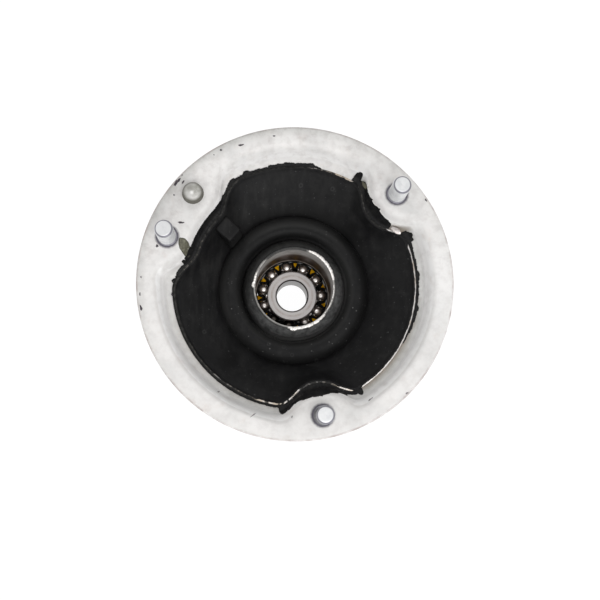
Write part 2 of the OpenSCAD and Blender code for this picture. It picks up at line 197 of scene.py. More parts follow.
VALLEY_R, VALLEY_Z = 35.2, -29.6
BULGE_R, BULGE_Z = 29.2, -25.2
GROOVE_R, GROOVE_Z = 24.0, -31.0
ROLL_POWER = 0.62
SLOPE_POWER = 0.96
SLOPE_END_R = VALLEY_R + 0.05
SLOPE_NOTCH_GAP = 4.0
COLLAR_T = 4.1
COLLAR_TOP = NECK_Z - 0.5
COLLAR_H = NECK_Z - GROOVE_Z - 4.5
GROOVE_SIDE = (NECK_R + COLLAR_T + 0.3, GROOVE_Z + 0.9)
LIP_SHARES = (0.0, 0.03, 0.35, 0.85)
LIP_RISE = (-0.1, 0.3, 0.45, 0.35)
LIP_GAP = 0.05
# Flash: its thickness, how deep its foot is sunk, its step in angle, and how softly its arcs and bands end
FLASH_T = 0.4
FLASH_SUNK = 0.1
FLASH_STEP = 0.18
ARC_SOFT = 0.5
BAND_SOFT = 0.8
PAD_BOTTOM_R = 33.4
PAD_TOP_R = FLOOR_HOLE_R + 7.0
PAD_WAIST = 2.0
TAB_W, TAB_L, TAB_Z = 8.0, 9.6, -13.4
TAB_ROUND = 1.1
TAB_FLARE = 0.5
TAB_LEAN = 0.7
TAB_POWER = 7.0
TAB_END_GAP = 0.4
# Bands by distance from the axis of its painted light and painted shade, its wear and its dust: start, full,
# fade and end, or start and full
CREST_BAND = (28.5, 30.5, 31.5, 33.5)
VALLEY_BAND = (30.5, 32.5, 33.8, 36.2)
FLANK_BAND = (23.3, 24.6, 26.8, 28.8)
# Middle of the painted light on the groove's floor
GROOVE_LIGHT_R = 24.1
SLOPE_FOOT = (42.5, 36.5)
NECK_WEAR = (23.8, 22.4)
GRIT_REACH = (36.0, 30.0)
BLOTCH = (-29.6, -33.8, 7.5)
# Mould dots: distance from the axis and angle
MOULD_DOTS = ((46, -153), (28.2, -114), (27.5, -99.5), (30.8, -91.5), (34.8, -72), (47.6, 86.5), (49, 69))
DOT_R, DOT_W = 0.7, 0.5

# Studio: the camera, the lamps (name, place, size and power), the world and the floor

CAMERA_EYE = (-16.63, -64.48, 412.65)
CAMERA_TARGET = (1.741, -8.594, 0.0)
SENSOR_W, LENS = 36.0, 57.0
LAMPS = (("key", (170, -450, 450), 800, 2.6), ("fill", (-450, 500, 700), 600, 0.7))
HORIZON_LIGHT = 1.15
ZENITH_LIGHT = 0.46
FLOOR_HALF = 3000.0
FLOOR_GLOW = 1.06
GLOW_SHARE = 0.93

# Limits of the sums, the shading and the welding

FAR = 1000.0
STEEPEST = np.radians(88)
SHARP_ANGLE = np.radians(38)
WELD_GAP = 0.002
FLAT_EDGE = 0.001


# Sums


def tan(angle):
    """Tangent of an angle in degrees."""
    return np.tan(np.radians(angle))


def column(values):
    """Values as one column, so that they spread along rows."""
    return np.array(values, float)[:, None]


def layered(values):
    """Values as one layer for each notch."""
    return np.array(values, float)[:, None, None]


def rise(value, start, end):
    """0 up to the start and 1 from the end on, with a straight line between them."""
    return np.clip((value - start) / (end - start), 0, 1)


def wrapped(angle):
    """The same direction as an angle between -180 and 180."""
    return (np.asarray(angle, float) + 180) % 360 - 180


def span_share(angle, start, end, soft):
    """1 within a span of angles, falling to 0 over the soft angle at each end."""
    half = (end - start) / 2
    away = np.abs(wrapped(angle - (start + half)))
    return np.clip((half - away) / soft + 0.5, 0, 1)


def strongest(angle, spans, soft):
    """The largest strength among the spans (from, to, strength) that an angle lies in."""
    return np.max([strength * span_share(angle, *ends, soft) for *ends, strength in spans], axis=0)


def ripple(angle, seed, counts, sizes):
    """Sum of sine waves round the axis, each with a seeded phase: size sin(count a + phase)."""
    phases = np.random.default_rng(seed).uniform(0, 2 * np.pi, len(counts))
    turn = np.radians(np.asarray(angle, float))
    return sum(size * np.sin(count * turn + phase) for count, size, phase in zip(counts, sizes, phases))


def lumps(angle, rows):
    """A layer for each round lump (angle, half width, reach): reach sqrt(1 - (turn / half width)^2)."""
    return [reach * np.sqrt(np.clip(1 - (wrapped(angle - middle) / half) ** 2, 0, 1))
            for middle, half, reach in rows]


def polar(angle, radius, height):
    """Points at an angle, radius and height: (r cos a, r sin a, z)."""
    angle, radius, height = np.broadcast_arrays(np.radians(angle), radius, height)
    return np.stack([radius * np.cos(angle), radius * np.sin(angle), height], axis=-1)


def revolve(angle, rows):
    """Rings round the axis, one for each (radius, height)."""
    radius, height = np.array([*rows], float).T
    return polar(angle, column(radius), column(height))


# Lobed outlines: a circle with a round notch at each stud

SHELL_OFFSET = -SHELL_T / np.sin(np.radians(WALL_ANGLE))
LEDGE_END = (RIM_R + LEDGE_W, RIM_Z + LEDGE_W * tan(LEDGE_ANGLE))
STEP_TOP_R = LEDGE_END[0] - LEDGE_END[1] / tan(STEP_ANGLE)
WELL_R = STEP_TOP_R + BEND_R * tan(STEP_ANGLE / 2)


def wall_station(height):
    """Radius of the shell's outer wall at a height, away from the notches: it slopes in from the rim."""
    return RIM_R + (height - RIM_Z) / tan(WALL_ANGLE)


def past_notch(angle):
    """Angle from each notch's span to a direction, which is 0 within the span: one layer for each notch."""
    first, last = (layered(ends) for ends in zip(*NOTCH_SPANS))
    return np.maximum(np.abs(wrapped(angle - (first + last) / 2)) - (last - first) / 2, 0)


def notch_side(angle, centre, radius, level):
    """Near side of the notches: centre cos p - sqrt(radius^2 - (centre sin p)^2), p past the notch.

    Where that circle gets as steep as the flank f, a straight flank that touches it goes on outwards:
    (centre cos f - radius) / cos(p + f). The level is 0 at the flat face and 1 at the rim and below.
    """
    p = np.radians(past_notch(angle))
    flank = np.radians(TOP_FLANK + (layered(NOTCH_FLANKS) - TOP_FLANK) * level)
    radius = radius + layered(NOTCH_GROWTH) * level
    touch = np.arctan2(radius * np.sin(flank), centre - radius * np.cos(flank))
    circle = centre * np.cos(p) - np.sqrt(np.maximum(radius ** 2 - (centre * np.sin(p)) ** 2, 0))
    turn = np.minimum(p + flank, STEEPEST)
    line = np.where(turn < STEEPEST, (centre * np.cos(flank) - radius) / np.cos(turn), FAR)
    return np.where(p < touch, circle, line).min(axis=0)


def rounded_min(a, b):
    """The smaller of two radii, less a parabola that rounds the corner where they are nearly equal."""
    share = np.maximum(CORNER_R - np.abs(a - b), 0) / CORNER_R
    return np.minimum(a, b) - share ** 2 * CORNER_R / 4


def lobed(angle, station, offset=0.0):
    """Radius of the well's wall: the station's circle, cut by notches that shift and shrink downwards."""
    share = np.minimum(1, (WELL_R - station) / (WELL_R - RIM_R))
    centre = STUD_R + PAD_SHIFT * (1 - share)
    radius = NOTCH_R + (PAD_SHIFT + PAD_REACH - NOTCH_R) * (1 - share)
    radius = radius + NOTCH_TAPER * np.maximum(RIM_R - station, 0)
    return rounded_min(station + offset, notch_side(angle, centre, radius - offset, share))


def outline_angles(count):
    """Angles that divide the rim's outline into equal lengths, so that the steep notch sides get enough."""
    dense = np.linspace(0, 360, 20001)
    x, y, _ = polar(dense, lobed(dense[None, :], RIM_R)[0], 0.0).T
    length = np.concatenate([[0], np.cumsum(np.hypot(np.diff(x), np.diff(y)))])
    return np.interp(np.linspace(0, length[-1], count, endpoint=False), length, dense)[None, :]


# Meshes


def put_in_scene(name, data):
    """A new object with this data, linked to the scene."""
    thing = bpy.data.objects.new(name, data)
    bpy.context.scene.collection.objects.link(thing)
    return thing


def signed_volume(points, quads):
    """Volume inside quads by the divergence theorem; it is negative where they face inwards."""
    a, b, c, d = (points[quads[:, i]] for i in range(4))
    halves = np.einsum("ij,ij->i", a, np.cross(b, c)) + np.einsum("ij,ij->i", a, np.cross(c, d))
    return halves.sum() / 6


def surface(name, grids, material, node=None, wrap_rows=True, weld=False, attributes=None):
    """A piece from grids of points: neighbours along rows and columns span quads, a shell for each grid.

    Each row runs round to its own start, and the last row joins the first where the rows wrap.
    """
    points, quads, start = [], [], 0
    for grid in grids:
        index = np.arange(grid.shape[0] * grid.shape[1]).reshape(grid.shape[:2]) + start
        index = np.hstack([index, index[:, :1]])
        if wrap_rows:
            index = np.vstack([index, index[:1]])
        corners = (index[:-1, :-1], index[:-1, 1:], index[1:, 1:], index[1:, :-1])
        shell = np.stack(corners, axis=-1).reshape(-1, 4)
        flat = grid.reshape(-1, 3)
        if signed_volume(flat, shell - start) < 0:
            shell = shell[:, ::-1]
        points.append(flat)
        quads.append(shell)
        start += len(flat)
    mesh = bpy.data.meshes.new(name)
    mesh.from_pydata((np.concatenate(points) * MM).tolist(), [], np.concatenate(quads).tolist())
    for key, values in (attributes or {}).items():
        layer = mesh.attributes.new(key, "FLOAT", "POINT")
        layer.data.foreach_set("value", np.asarray(values, np.float32).ravel())
    if weld:
        welded = bmesh.new()
        welded.from_mesh(mesh)
        bmesh.ops.remove_doubles(welded, verts=welded.verts, dist=WELD_GAP * MM)
        bmesh.ops.dissolve_degenerate(welded, edges=welded.edges, dist=FLAT_EDGE * MM)
        welded.to_mesh(mesh)
        welded.free()
    mesh.shade_smooth()
    mesh.set_sharp_from_angle(angle=SHARP_ANGLE)
    mesh.materials.append(material)
    piece = put_in_scene(name, mesh)
    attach(piece, "root")
    if node:
        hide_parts(node)
    return piece


# Node trees


class Tree:
    """A shader node tree with short calls. Where a call takes a value, it takes a number or a socket."""

    def __init__(self, tree):
        self.tree = tree

    def put(self, socket, value):
        """Links a socket, or sets its value; a colour is given by its red, green and blue."""
        if isinstance(value, bpy.types.NodeSocket):
            self.tree.links.new(value, socket)
        elif socket.type == "RGBA":
            socket.default_value = (*value, 1.0)
        else:
            socket.default_value = value

    def add(self, kind, inputs=None, **settings):
        """A new node with its settings and inputs."""
        node = self.tree.nodes.new("ShaderNode" + kind)
        for key, value in settings.items():
            setattr(node, key, value)
        for key, value in (inputs or {}).items():
            self.put(node.inputs[key], value)
        return node

    def math(self, operation, a, b=0.0, c=0.0):
        """An operation on up to three numbers."""
        return self.add("Math", {0: a, 1: b, 2: c}, operation=operation).outputs[0]

    def times(self, product, *others):
        """Product of masks and numbers."""
        for other in others:
            product = self.math("MULTIPLY", product, other)
        return product

    def vector(self, operation, a, b=(0.0, 0.0, 0.0)):
        """Outputs of an operation on vectors: the vector and the value."""
        return self.add("VectorMath", {0: a, 1: b}, operation=operation).outputs

    def distance(self, place, centre=(0.0, 0.0, 0.0)):
        """Distance of a place from the upright line through a centre."""
        apart = self.vector("SUBTRACT", place, centre)[0]
        return self.vector("LENGTH", self.vector("MULTIPLY", apart, (1, 1, 0))[0])["Value"]

    def mix(self, share, a, b):
        """Colour between two, at a share of the way to the second."""
        return self.add("Mix", {0: share, 6: a, 7: b}, data_type="RGBA").outputs[2]

    def ramp(self, value, start, end, first=0.0, last=1.0):
        """The first number up to the start and the last one from the end on, with a smooth step between."""
        inputs = {"Value": value, 1: start, 2: end, 3: first, 4: last}
        return self.add("MapRange", inputs, interpolation_type="SMOOTHSTEP").outputs[0]

    def use(self, group, **inputs):
        """Mask that a shared effect gives for its inputs."""
        node = self.add("Group")
        node.node_tree = group
        for key, value in inputs.items():
            self.put(node.inputs[key.capitalize()], value)
        return node.outputs[0]


def node_group(name, inputs, build):
    """A shared effect: its inputs are numbers with a default, or the place, and it puts out one mask."""
    tree = bpy.data.node_groups.new(name, "ShaderNodeTree")
    for key, default in inputs.items():
        kind = "NodeSocketVector" if default is None else "NodeSocketFloat"
        socket = tree.interface.new_socket(name=key, in_out="INPUT", socket_type=kind)
        if default is not None:
            socket.default_value = default
    tree.interface.new_socket(name="Mask", in_out="OUTPUT", socket_type="NodeSocketFloat")
    source = tree.nodes.new("NodeGroupInput")
    drain = tree.nodes.new("NodeGroupOutput")
    tree.links.new(build(Tree(tree), source.outputs), drain.inputs[0])
    return tree


def mottle_nodes(tree, inputs):
    """Cloudy patches: fractal noise at a scale, spread from 0 at Low to 1 at High."""
    settings = {"Vector": inputs["Place"], "Scale": inputs["Scale"], "Detail": 4.0, "Roughness": 0.6}
    return tree.ramp(tree.add("TexNoise", settings).outputs[0], inputs["Low"], inputs["High"])


def speck_nodes(tree, inputs):
    """Scattered specks: round spots at the feature points of a share of the cells of a Voronoi pattern."""
    cells = tree.add("TexVoronoi", {"Vector": inputs["Place"], "Scale": inputs["Scale"]})
    spot = tree.ramp(cells.outputs["Distance"], inputs["Size"], tree.times(inputs["Size"], 0.4))
    pick = tree.add("SeparateXYZ", {0: cells.outputs["Color"]}).outputs[0]
    return tree.times(spot, tree.math("LESS_THAN", pick, inputs["Share"]))


def ring_nodes(tree, inputs):
    """A soft ring: 1 at a radius from an upright line, falling to 0 within its width, its edge uneven."""
    away = tree.distance(inputs["Place"], inputs["Centre"])
    noise = tree.add("TexNoise", {"Vector": inputs["Place"], "Scale": 900.0}).outputs[0]
    uneven = tree.times(tree.math("SUBTRACT", noise, 0.5), tree.times(inputs["Width"], 0.4))
    off = tree.math("ABSOLUTE", tree.math("SUBTRACT", away, inputs["Radius"]))
    return tree.ramp(tree.math("ADD", off, uneven), inputs["Width"], 0.0)


MOTTLE = node_group("mottle", {"Place": None, "Scale": 100.0, "Low": 0.4, "High": 0.7}, mottle_nodes)
SPECKS = node_group("specks", {"Place": None, "Scale": 400.0, "Size": 0.2, "Share": 0.1}, speck_nodes)
RING = node_group("ring", {"Place": None, "Centre": None, "Radius": 0.005, "Width": 0.001}, ring_nodes)


class Finish(Tree):
    """A material's tree, whose colour is laid on in coats. Scales of patterns are counted to the metre."""

    def __init__(self, material):
        super().__init__(material.node_tree)
        self.place = self.add("TexCoord").outputs["Object"]
        self.x, self.y, self.z = self.add("SeparateXYZ", {0: self.place}).outputs
        self.reach = self.distance(self.place)
        self.colour = None

    def coat(self, colour, *masks):
        """Lays a colour over those before it, at the share that the masks and numbers multiply to."""
        self.colour = self.mix(self.times(*masks), self.colour, colour)

    def attribute(self, name):
        """Value that the mesh holds under this name."""
        return self.add("Attribute", attribute_name=name).outputs["Fac"]

    def toward(self, x, y):
        """Place along a direction: the part's x and y, each times its share, added up."""
        return self.vector("DOT_PRODUCT", self.place, (x, y, 0.0))["Value"]

    def fade(self, length, start, end, first=0.0, last=1.0):
        """Ramp of a length, with its start and end in millimetres."""
        return self.ramp(length, start * MM, end * MM, first, last)

    def band(self, length, start, full, last, end):
        """1 from the full length to the last, falling to 0 at the start and the end."""
        return self.times(self.fade(length, start, full), self.fade(length, end, last))

    def line(self, length, middle, width, full):
        """1 within a full distance of a middle, falling to 0 at the width."""
        off = self.math("ABSOLUTE", self.math("SUBTRACT", length, middle * MM))
        return self.fade(off, width, full)

    def spread(self, mask, first, last):
        """A mask spread between two numbers."""
        return self.ramp(mask, 0.0, 1.0, first, last)

    def mottle(self, scale, start, full, place=None):
        """Cloudy patches on the piece, or on another place such as a stretched one."""
        place = self.place if place is None else place
        return self.use(MOTTLE, place=place, scale=scale, low=start, high=full)

    def specks(self, scale, size, share):
        """Scattered specks on the piece."""
        return self.use(SPECKS, place=self.place, scale=scale, size=size, share=share)

    def ring(self, x, y, radius, width):
        """A soft ring round an upright line."""
        centre = (x * MM, y * MM, 0.0)
        return self.use(RING, place=self.place, centre=centre, radius=radius * MM, width=width * MM)

    def spot(self, x, y, width):
        """A soft spot: a ring with no radius."""
        return self.ring(x, y, 0.0, width)

    def bump(self, height, distance, strength=0.5):
        """Normal of a bumpy skin that is so many millimetres deep."""
        inputs = {"Height": height, "Distance": distance * MM, "Strength": strength}
        return self.add("Bump", inputs).outputs[0]


def finish(build):
    """A material, named as its function is, with that function's coats and its values for other sockets."""
    material = bpy.data.materials.new(build.__name__)
    material.use_nodes = True
    tree = Finish(material)
    sockets = {**build(tree), "Base Color": tree.colour}
    shader = material.node_tree.nodes["Principled BSDF"]
    for key, value in sockets.items():
        tree.put(shader.inputs[key], value)
    return material


def grey(value):
    """A colour with no hue."""
    return (value, value, value)


# Finishes

# Near white: the painted light on the pressed side's steep wall, and a whiter patch
NEAR_WHITE = (0.98, 0.97, 0.96)
# Darker grey: the painted shade on the step and on the ledge, and a greyer outer edge and pad
DARKER_GREY = (0.36, 0.362, 0.34)
# Pale grey: dust specks on the rubber, and the painted light on its groove's floor
PALE_DUST_AND_LIGHT = (0.11, 0.11, 0.108)
# Dark grey: grime in the studs' thread, and the painted shade at their feet and on their chamfers
STUD_GRIME_AND_SHADE = (0.10, 0.095, 0.13)


def flange_paint(tree):
    """Pale paint with grey clouds, lighter on the pressed side's steep wall as a painted light; its step
    has a painted shade and its bend a painted highlight.

    Over these lie a painted shade along the crease at the bend's top, a whiter patch, brown clouds,
    rubbing, smudges, darker grey (a painted shade on the ledge, greyer at the outer edge and a pad), a worn
    outer edge, painted shade round the studs' feet, brown dirt near the rim and a painted brown shadow by
    the bare sliver.
    """
    tree.colour = (0.845, 0.828, 0.812)
    tree.coat((0.73, 0.722, 0.71), tree.mottle(45, 0.42, 0.75))
    tree.coat((0.66, 0.655, 0.645), tree.mottle(22, 0.45, 0.62), 0.25)
    # Painted light: the pressed side's steep wall is made lighter
    tree.coat(NEAR_WHITE, tree.attribute("wall_light"))
    # Painted shade on the step, towards -Y
    tree.coat(DARKER_GREY, tree.band(tree.z, *STEP_SHADE), tree.fade(tree.y, -10, -35, 0.0, 0.24))
    # Painted highlight along the bend, strongest towards -Y
    bend = tree.times(tree.band(tree.z, *BEND_HIGHLIGHT), tree.fade(tree.y, 0, 40, 0.9, 0.2))
    tree.coat((0.98, 0.975, 0.965), bend, tree.fade(tree.reach, *HIGHLIGHT_REACH))
    # Painted shade along the crease at the bend's top, towards -Y
    crease = tree.times(tree.line(tree.z, CREASE_Z, 0.6, 0.2), tree.fade(tree.reach, *CREASE_REACH))
    tree.coat((0.5, 0.49, 0.47), crease, tree.fade(tree.y, 20, -20, 0.0, 0.25))
    # A whiter patch towards +X
    tree.coat(NEAR_WHITE, tree.spot(*WHITER_PATCH), 0.5)
    tree.coat((0.6, 0.5, 0.44), tree.mottle(120, 0.55, 0.85), 0.45)
    rubbed = tree.mottle(260, 0.4, 0.7)
    tree.coat((0.52, 0.49, 0.475), rubbed, tree.fade(tree.y, -30, 50, 0.22, 0.35))
    patchy = tree.math("MULTIPLY_ADD", rubbed, 0.8, 0.5)
    for x, y, radius, strength in SMUDGES:
        tree.coat((0.4, 0.36, 0.335), tree.spot(x, y, radius), patchy, strength)
    # Dull grey: a painted shade on the ledge, and greyer at the outer edge and at a stud pad
    streak = tree.spread(tree.mottle(260, 0.25, 0.75), 0.75, 1.0)
    tree.coat(DARKER_GREY, tree.attribute("dull"), streak)
    edge = tree.fade(tree.reach, FLANGE_R - 1.2, FLANGE_R)
    tree.coat((0.36, 0.29, 0.27), edge, tree.mottle(160, 0.3, 0.75))
    # Painted shade in the gap round each stud's foot
    for angle in STUD_ANGLES:
        x, y, _ = polar(angle, STUD_R, 0.0)
        tree.coat((0.045, 0.04, 0.065), tree.ring(x, y, FOOT_SHADE_R, FOOT_SHADE_W), 0.95)
    # Brown dirt near the rim, and a painted brown shadow beside the bare sliver
    tree.coat((0.24, 0.185, 0.13), tree.attribute("soil_and_shadow"))
    return {"Roughness": tree.spread(tree.mottle(300, 0.3, 0.7), 0.42, 0.58), "Specular IOR Level": 0.35,
            "Normal": tree.bump(tree.mottle(700, 0.2, 0.8), 0.04)}


def sheared_shell(tree):
    """Rubber-coated steel whose sheared rim is bare: the bare attribute, broken up, shows bright metal."""
    break_up = tree.mottle(500, 0.3, 0.6)
    bare = tree.attribute("bare")
    tree.colour = tree.mix(break_up, (0.008, 0.0078, 0.0076), (0.02, 0.019, 0.018))
    tree.coat((0.042, 0.041, 0.039), tree.ramp(tree.math("MULTIPLY_ADD", break_up, 0.1, bare), 0.06, 0.24))
    metal = tree.mix(tree.mottle(60, 0.45, 0.6), (0.74, 0.71, 0.69), (0.55, 0.47, 0.38))
    bright = tree.ramp(tree.math("MULTIPLY_ADD", break_up, 0.5, bare), 0.55, 0.95)
    tree.coat(metal, bright)
    return {"Metallic": tree.times(bright, 0.85), "Roughness": tree.spread(bright, 0.6, 0.32),
            "Specular IOR Level": 0.16}


def moulded_rubber(tree):
    """Black rubber with cloudy wear, upright streaks, worn patches and a dark blotch.

    Towards +Y the slope's foot is darker, a painted shade, and the bulge's crest paler, a painted light. The
    valley and the groove's flank and floor are painted lighter, a painted light that is stronger on one
    side.
    The neck is worn pale. Specks and mould dots come last.
    """
    cloud = tree.mottle(70, 0.4, 0.75)
    tree.colour = tree.mix(cloud, (0.0052, 0.0052, 0.0056), (0.0112, 0.0112, 0.0116))
    drawn = tree.mottle(330, 0.42, 0.78, tree.vector("MULTIPLY", tree.place, (1.0, 0.16, 0.3))[0])
    streak = tree.times(drawn, tree.fade(tree.x, 20, -20, 0.3, 0.62), tree.fade(tree.y, -36, -6, 0.35, 1.0))
    tree.coat((0.027, 0.0265, 0.026), streak)
    tree.coat((0.024, 0.0235, 0.023), tree.mottle(230, 0.45, 0.8), 0.5)
    tree.coat(grey(0.002), tree.spot(*BLOTCH), 0.75)
    behind = tree.fade(tree.y, 12, 28)
    # Painted shade: the slope's foot is darker towards +Y
    tree.coat(grey(0.002), tree.fade(tree.reach, *SLOPE_FOOT), behind, 0.7)
    # Painted light: the bulge's crest is paler towards +Y
    tree.coat((0.024, 0.024, 0.0235), tree.band(tree.reach, *CREST_BAND), behind)
    # Painted light in the valley, strongest towards -X and +Y
    valley = tree.mix(tree.fade(tree.toward(-1, 1), -5, 25), grey(0.008), (0.027, 0.027, 0.0265))
    tree.coat(valley, tree.band(tree.reach, *VALLEY_BAND), 0.8)
    near = tree.toward(0.4, -1)
    # Painted light on the groove's flank, strongest towards -Y
    flank = tree.mix(tree.fade(near, -20, 4), grey(0.012), (0.03, 0.03, 0.0295))
    tree.coat(flank, tree.band(tree.reach, *FLANK_BAND), 0.85)
    # Painted light on the groove's floor: paler towards +Y, and palest towards +X and -Y
    floor = tree.mix(tree.fade(tree.y, 0, 20), grey(0.017), grey(0.055))
    floor = tree.mix(tree.fade(tree.toward(0.8, -1), -4, 20), floor, PALE_DUST_AND_LIGHT)
    tree.coat(floor, tree.line(tree.reach, GROOVE_LIGHT_R, 1.3, 0.4), 0.8)
    neck = tree.mix(tree.fade(near, -14, 12), (0.026, 0.026, 0.025), (0.088, 0.088, 0.087))
    tree.coat(neck, tree.fade(tree.reach, *NECK_WEAR), tree.mottle(450, 0.1, 0.8))
    tree.coat(grey(0.09), tree.specks(330, 0.17, 0.14), 0.55)
    tree.coat((0.07, 0.07, 0.072), tree.specks(900, 0.24, 0.14), 0.5)
    by_neck = tree.times(tree.fade(tree.reach, *GRIT_REACH), tree.fade(tree.y, 12, -8))
    tree.coat(PALE_DUST_AND_LIGHT, tree.specks(620, 0.26, 0.22), by_neck)
    for radius, angle in MOULD_DOTS:
        x, y, _ = polar(angle, radius, 0.0)
        tree.coat(grey(0.06), tree.ring(x, y, DOT_R, DOT_W), 0.3)
    return {"Roughness": tree.spread(cloud, 0.5, 0.66), "Specular IOR Level": 0.17,
            "Normal": tree.bump(tree.mottle(1500, 0.2, 0.8), 0.05)}


def torn_flash(tree):
    """Thin black rubber, a little glossier than the body."""
    cloud = tree.mottle(350, 0.35, 0.75)
    tree.colour = tree.mix(cloud, (0.0068, 0.0068, 0.0073), (0.016, 0.0155, 0.015))
    return {"Roughness": 0.52, "Specular IOR Level": 0.16, "Normal": tree.bump(cloud, 0.08, 0.6)}


def cup_steel(tree):
    """Drawn steel: grey near the rim and brown below. The rim is torn bright, or else has rubber on it."""
    streak = tree.mottle(300, 0.3, 0.75)
    tree.colour = tree.mix(streak, (0.44, 0.425, 0.405), (0.29, 0.28, 0.265))
    brown = tree.mix(streak, (0.085, 0.05, 0.03), (0.045, 0.028, 0.02))
    tree.coat(brown, tree.fade(tree.z, *BROWN_Z))
    torn = tree.math("MULTIPLY_ADD", tree.mottle(620, 0.35, 0.6), 0.45, tree.attribute("bare"))
    bright = tree.ramp(torn, 0.6, 0.95)
    tree.coat((0.80, 0.77, 0.74), bright)
    skin = tree.attribute("skin")
    tree.coat(tree.mix(streak, (0.04, 0.039, 0.037), grey(0.018)), skin)
    metal = tree.times(tree.spread(bright, 0.55, 0.8), tree.math("SUBTRACT", 1.0, skin))
    return {"Metallic": metal, "Roughness": tree.spread(bright, 0.42, 0.36),
            "Normal": tree.bump(tree.mottle(1100, 0.2, 0.8), 0.04)}


def zinc_stud(tree):
    """Bright bluish zinc with dull patches, grime in the thread, and painted shade at the foot, on one side
    of the last stud and on the chamfer.

    The flat tops differ in how dull they are.
    """
    dull = tree.mottle(260, 0.35, 0.75)
    tree.colour = tree.mix(dull, (0.80, 0.805, 0.808), (0.64, 0.648, 0.66))
    # Painted shade at the foot, and grime in the thread's roots
    foot = tree.fade(tree.z, *FOOT_SHADE_Z, 0.0, 0.8)
    tree.coat(STUD_GRIME_AND_SHADE, tree.math("MAXIMUM", tree.times(tree.attribute("root"), 0.3), foot))
    # Painted shade on one side of the last stud, below its top
    below_top = tree.fade(tree.z, STUD_TOP - 0.5, STUD_TOP - 1.5)
    tree.coat((0.11, 0.108, 0.12), tree.attribute("side_shade"), below_top, 0.9)
    # Painted shade on the chamfer round the top
    chamfer = STUD_TOP - STUD_CHAMFER
    disc = (STUD_TOP - 0.25, STUD_TOP - 0.05)
    tree.coat(STUD_GRIME_AND_SHADE, tree.band(tree.z, chamfer - 0.1, chamfer + 0.15, *disc), 0.78)
    tree.coat((0.55, 0.555, 0.565), tree.fade(tree.z, *disc), tree.attribute("duller"))
    return {"Metallic": 0.55, "Roughness": tree.spread(dull, 0.36, 0.5)}


def pin_paint(tree):
    """Thin cloudy paint on grey steel: painted shade on one side and the rim, a painted highlight on top."""
    tree.colour = tree.mix(tree.mottle(260, 0.4, 0.7), (0.58, 0.57, 0.55), (0.33, 0.325, 0.29))
    x, y, _ = polar(PIN_ANGLE, STUD_R, 0.0)
    # Painted shade on the dome's -X, +Y side
    tree.coat((0.15, 0.145, 0.12), tree.spot(x - 1.6, y + 1.4, 3.0), 0.65)
    from_axis = tree.distance(tree.place, (x * MM, y * MM, 0.0))
    # Painted shade round the dome's rim
    tree.coat((0.12, 0.115, 0.095), tree.fade(from_axis, 0.62 * PIN_R, PIN_R))
    # Painted highlight near the dome's top
    tree.coat((0.93, 0.92, 0.9), tree.spot(x - 0.2, y - 0.7, 1.3), 0.9)
    return {"Metallic": 0.25, "Roughness": 0.48}


def plate_coat(tree):
    """Dark dipped coat with dull clouds and brown specks."""
    cloud = tree.mottle(90, 0.35, 0.75)
    tree.colour = tree.mix(cloud, (0.035, 0.035, 0.038), (0.075, 0.072, 0.07))
    tree.coat((0.2, 0.17, 0.14), tree.specks(300, 0.2, 0.08), 0.4)
    return {"Metallic": 0.3, "Roughness": tree.spread(cloud, 0.4, 0.6)}


def turned_ring(tree):
    """Satin ground steel with turning lines, a brown ring on its face, painted shade on the chamfer and a
    grey bore.
    """
    settings = {"W": tree.times(tree.reach, 9000.0), "Scale": 1.0, "Detail": 2.0}
    lines = tree.add("TexNoise", settings, noise_dimensions="1D").outputs[0]
    tree.colour = tree.mix(tree.ramp(lines, 0.3, 0.7), (0.78, 0.75, 0.74), (0.66, 0.625, 0.61))
    stain = tree.line(tree.reach, FACE_STAIN_R, 0.8, 0.1)
    tree.coat((0.36, 0.24, 0.18), stain, tree.mottle(250, 0.25, 0.8), 0.6)
    # Painted shade on the chamfer by the bore
    tree.coat((0.07, 0.05, 0.048), tree.fade(tree.reach, BORE_R + 0.9, BORE_R + 0.4))
    tree.coat((0.27, 0.26, 0.25), tree.fade(tree.reach, BORE_R + 0.12, BORE_R + 0.04))
    return {"Metallic": 0.6, "Roughness": 0.38, "Normal": tree.bump(lines, 0.01)}


def race_steel(tree):
    """Oiled steel with a brighter face; below the face, and within the neck's bore, it is dark grease and
    painted shade.
    """
    tree.colour = tree.mix(tree.mottle(350, 0.35, 0.7), (0.46, 0.42, 0.38), (0.3, 0.25, 0.21))
    below = tree.fade(tree.z, SEAT_TOP - 0.05, SEAT_TOP - 0.5)
    within = tree.fade(tree.reach, NECK_BORE, NECK_BORE - 0.4)
    # Painted dark: grease, and painted shade below the face and within the neck's bore
    tree.coat((0.012, 0.010, 0.009), tree.math("MAXIMUM", below, within))
    return {"Metallic": 0.8, "Roughness": 0.35}


def ball_steel(tree):
    """Polished steel under a film of grease; the balls towards -Y are painted dark, a painted shade."""
    film = tree.mottle(420, 0.4, 0.75)
    tree.colour = tree.mix(film, (0.86, 0.82, 0.79), (0.52, 0.47, 0.44))
    # Painted shade on the balls towards -Y
    tree.coat((0.05, 0.043, 0.038), tree.fade(tree.toward(0.35, 1.0), -8.5, -13))
    return {"Metallic": 0.92, "Roughness": tree.spread(film, 0.13, 0.22)}


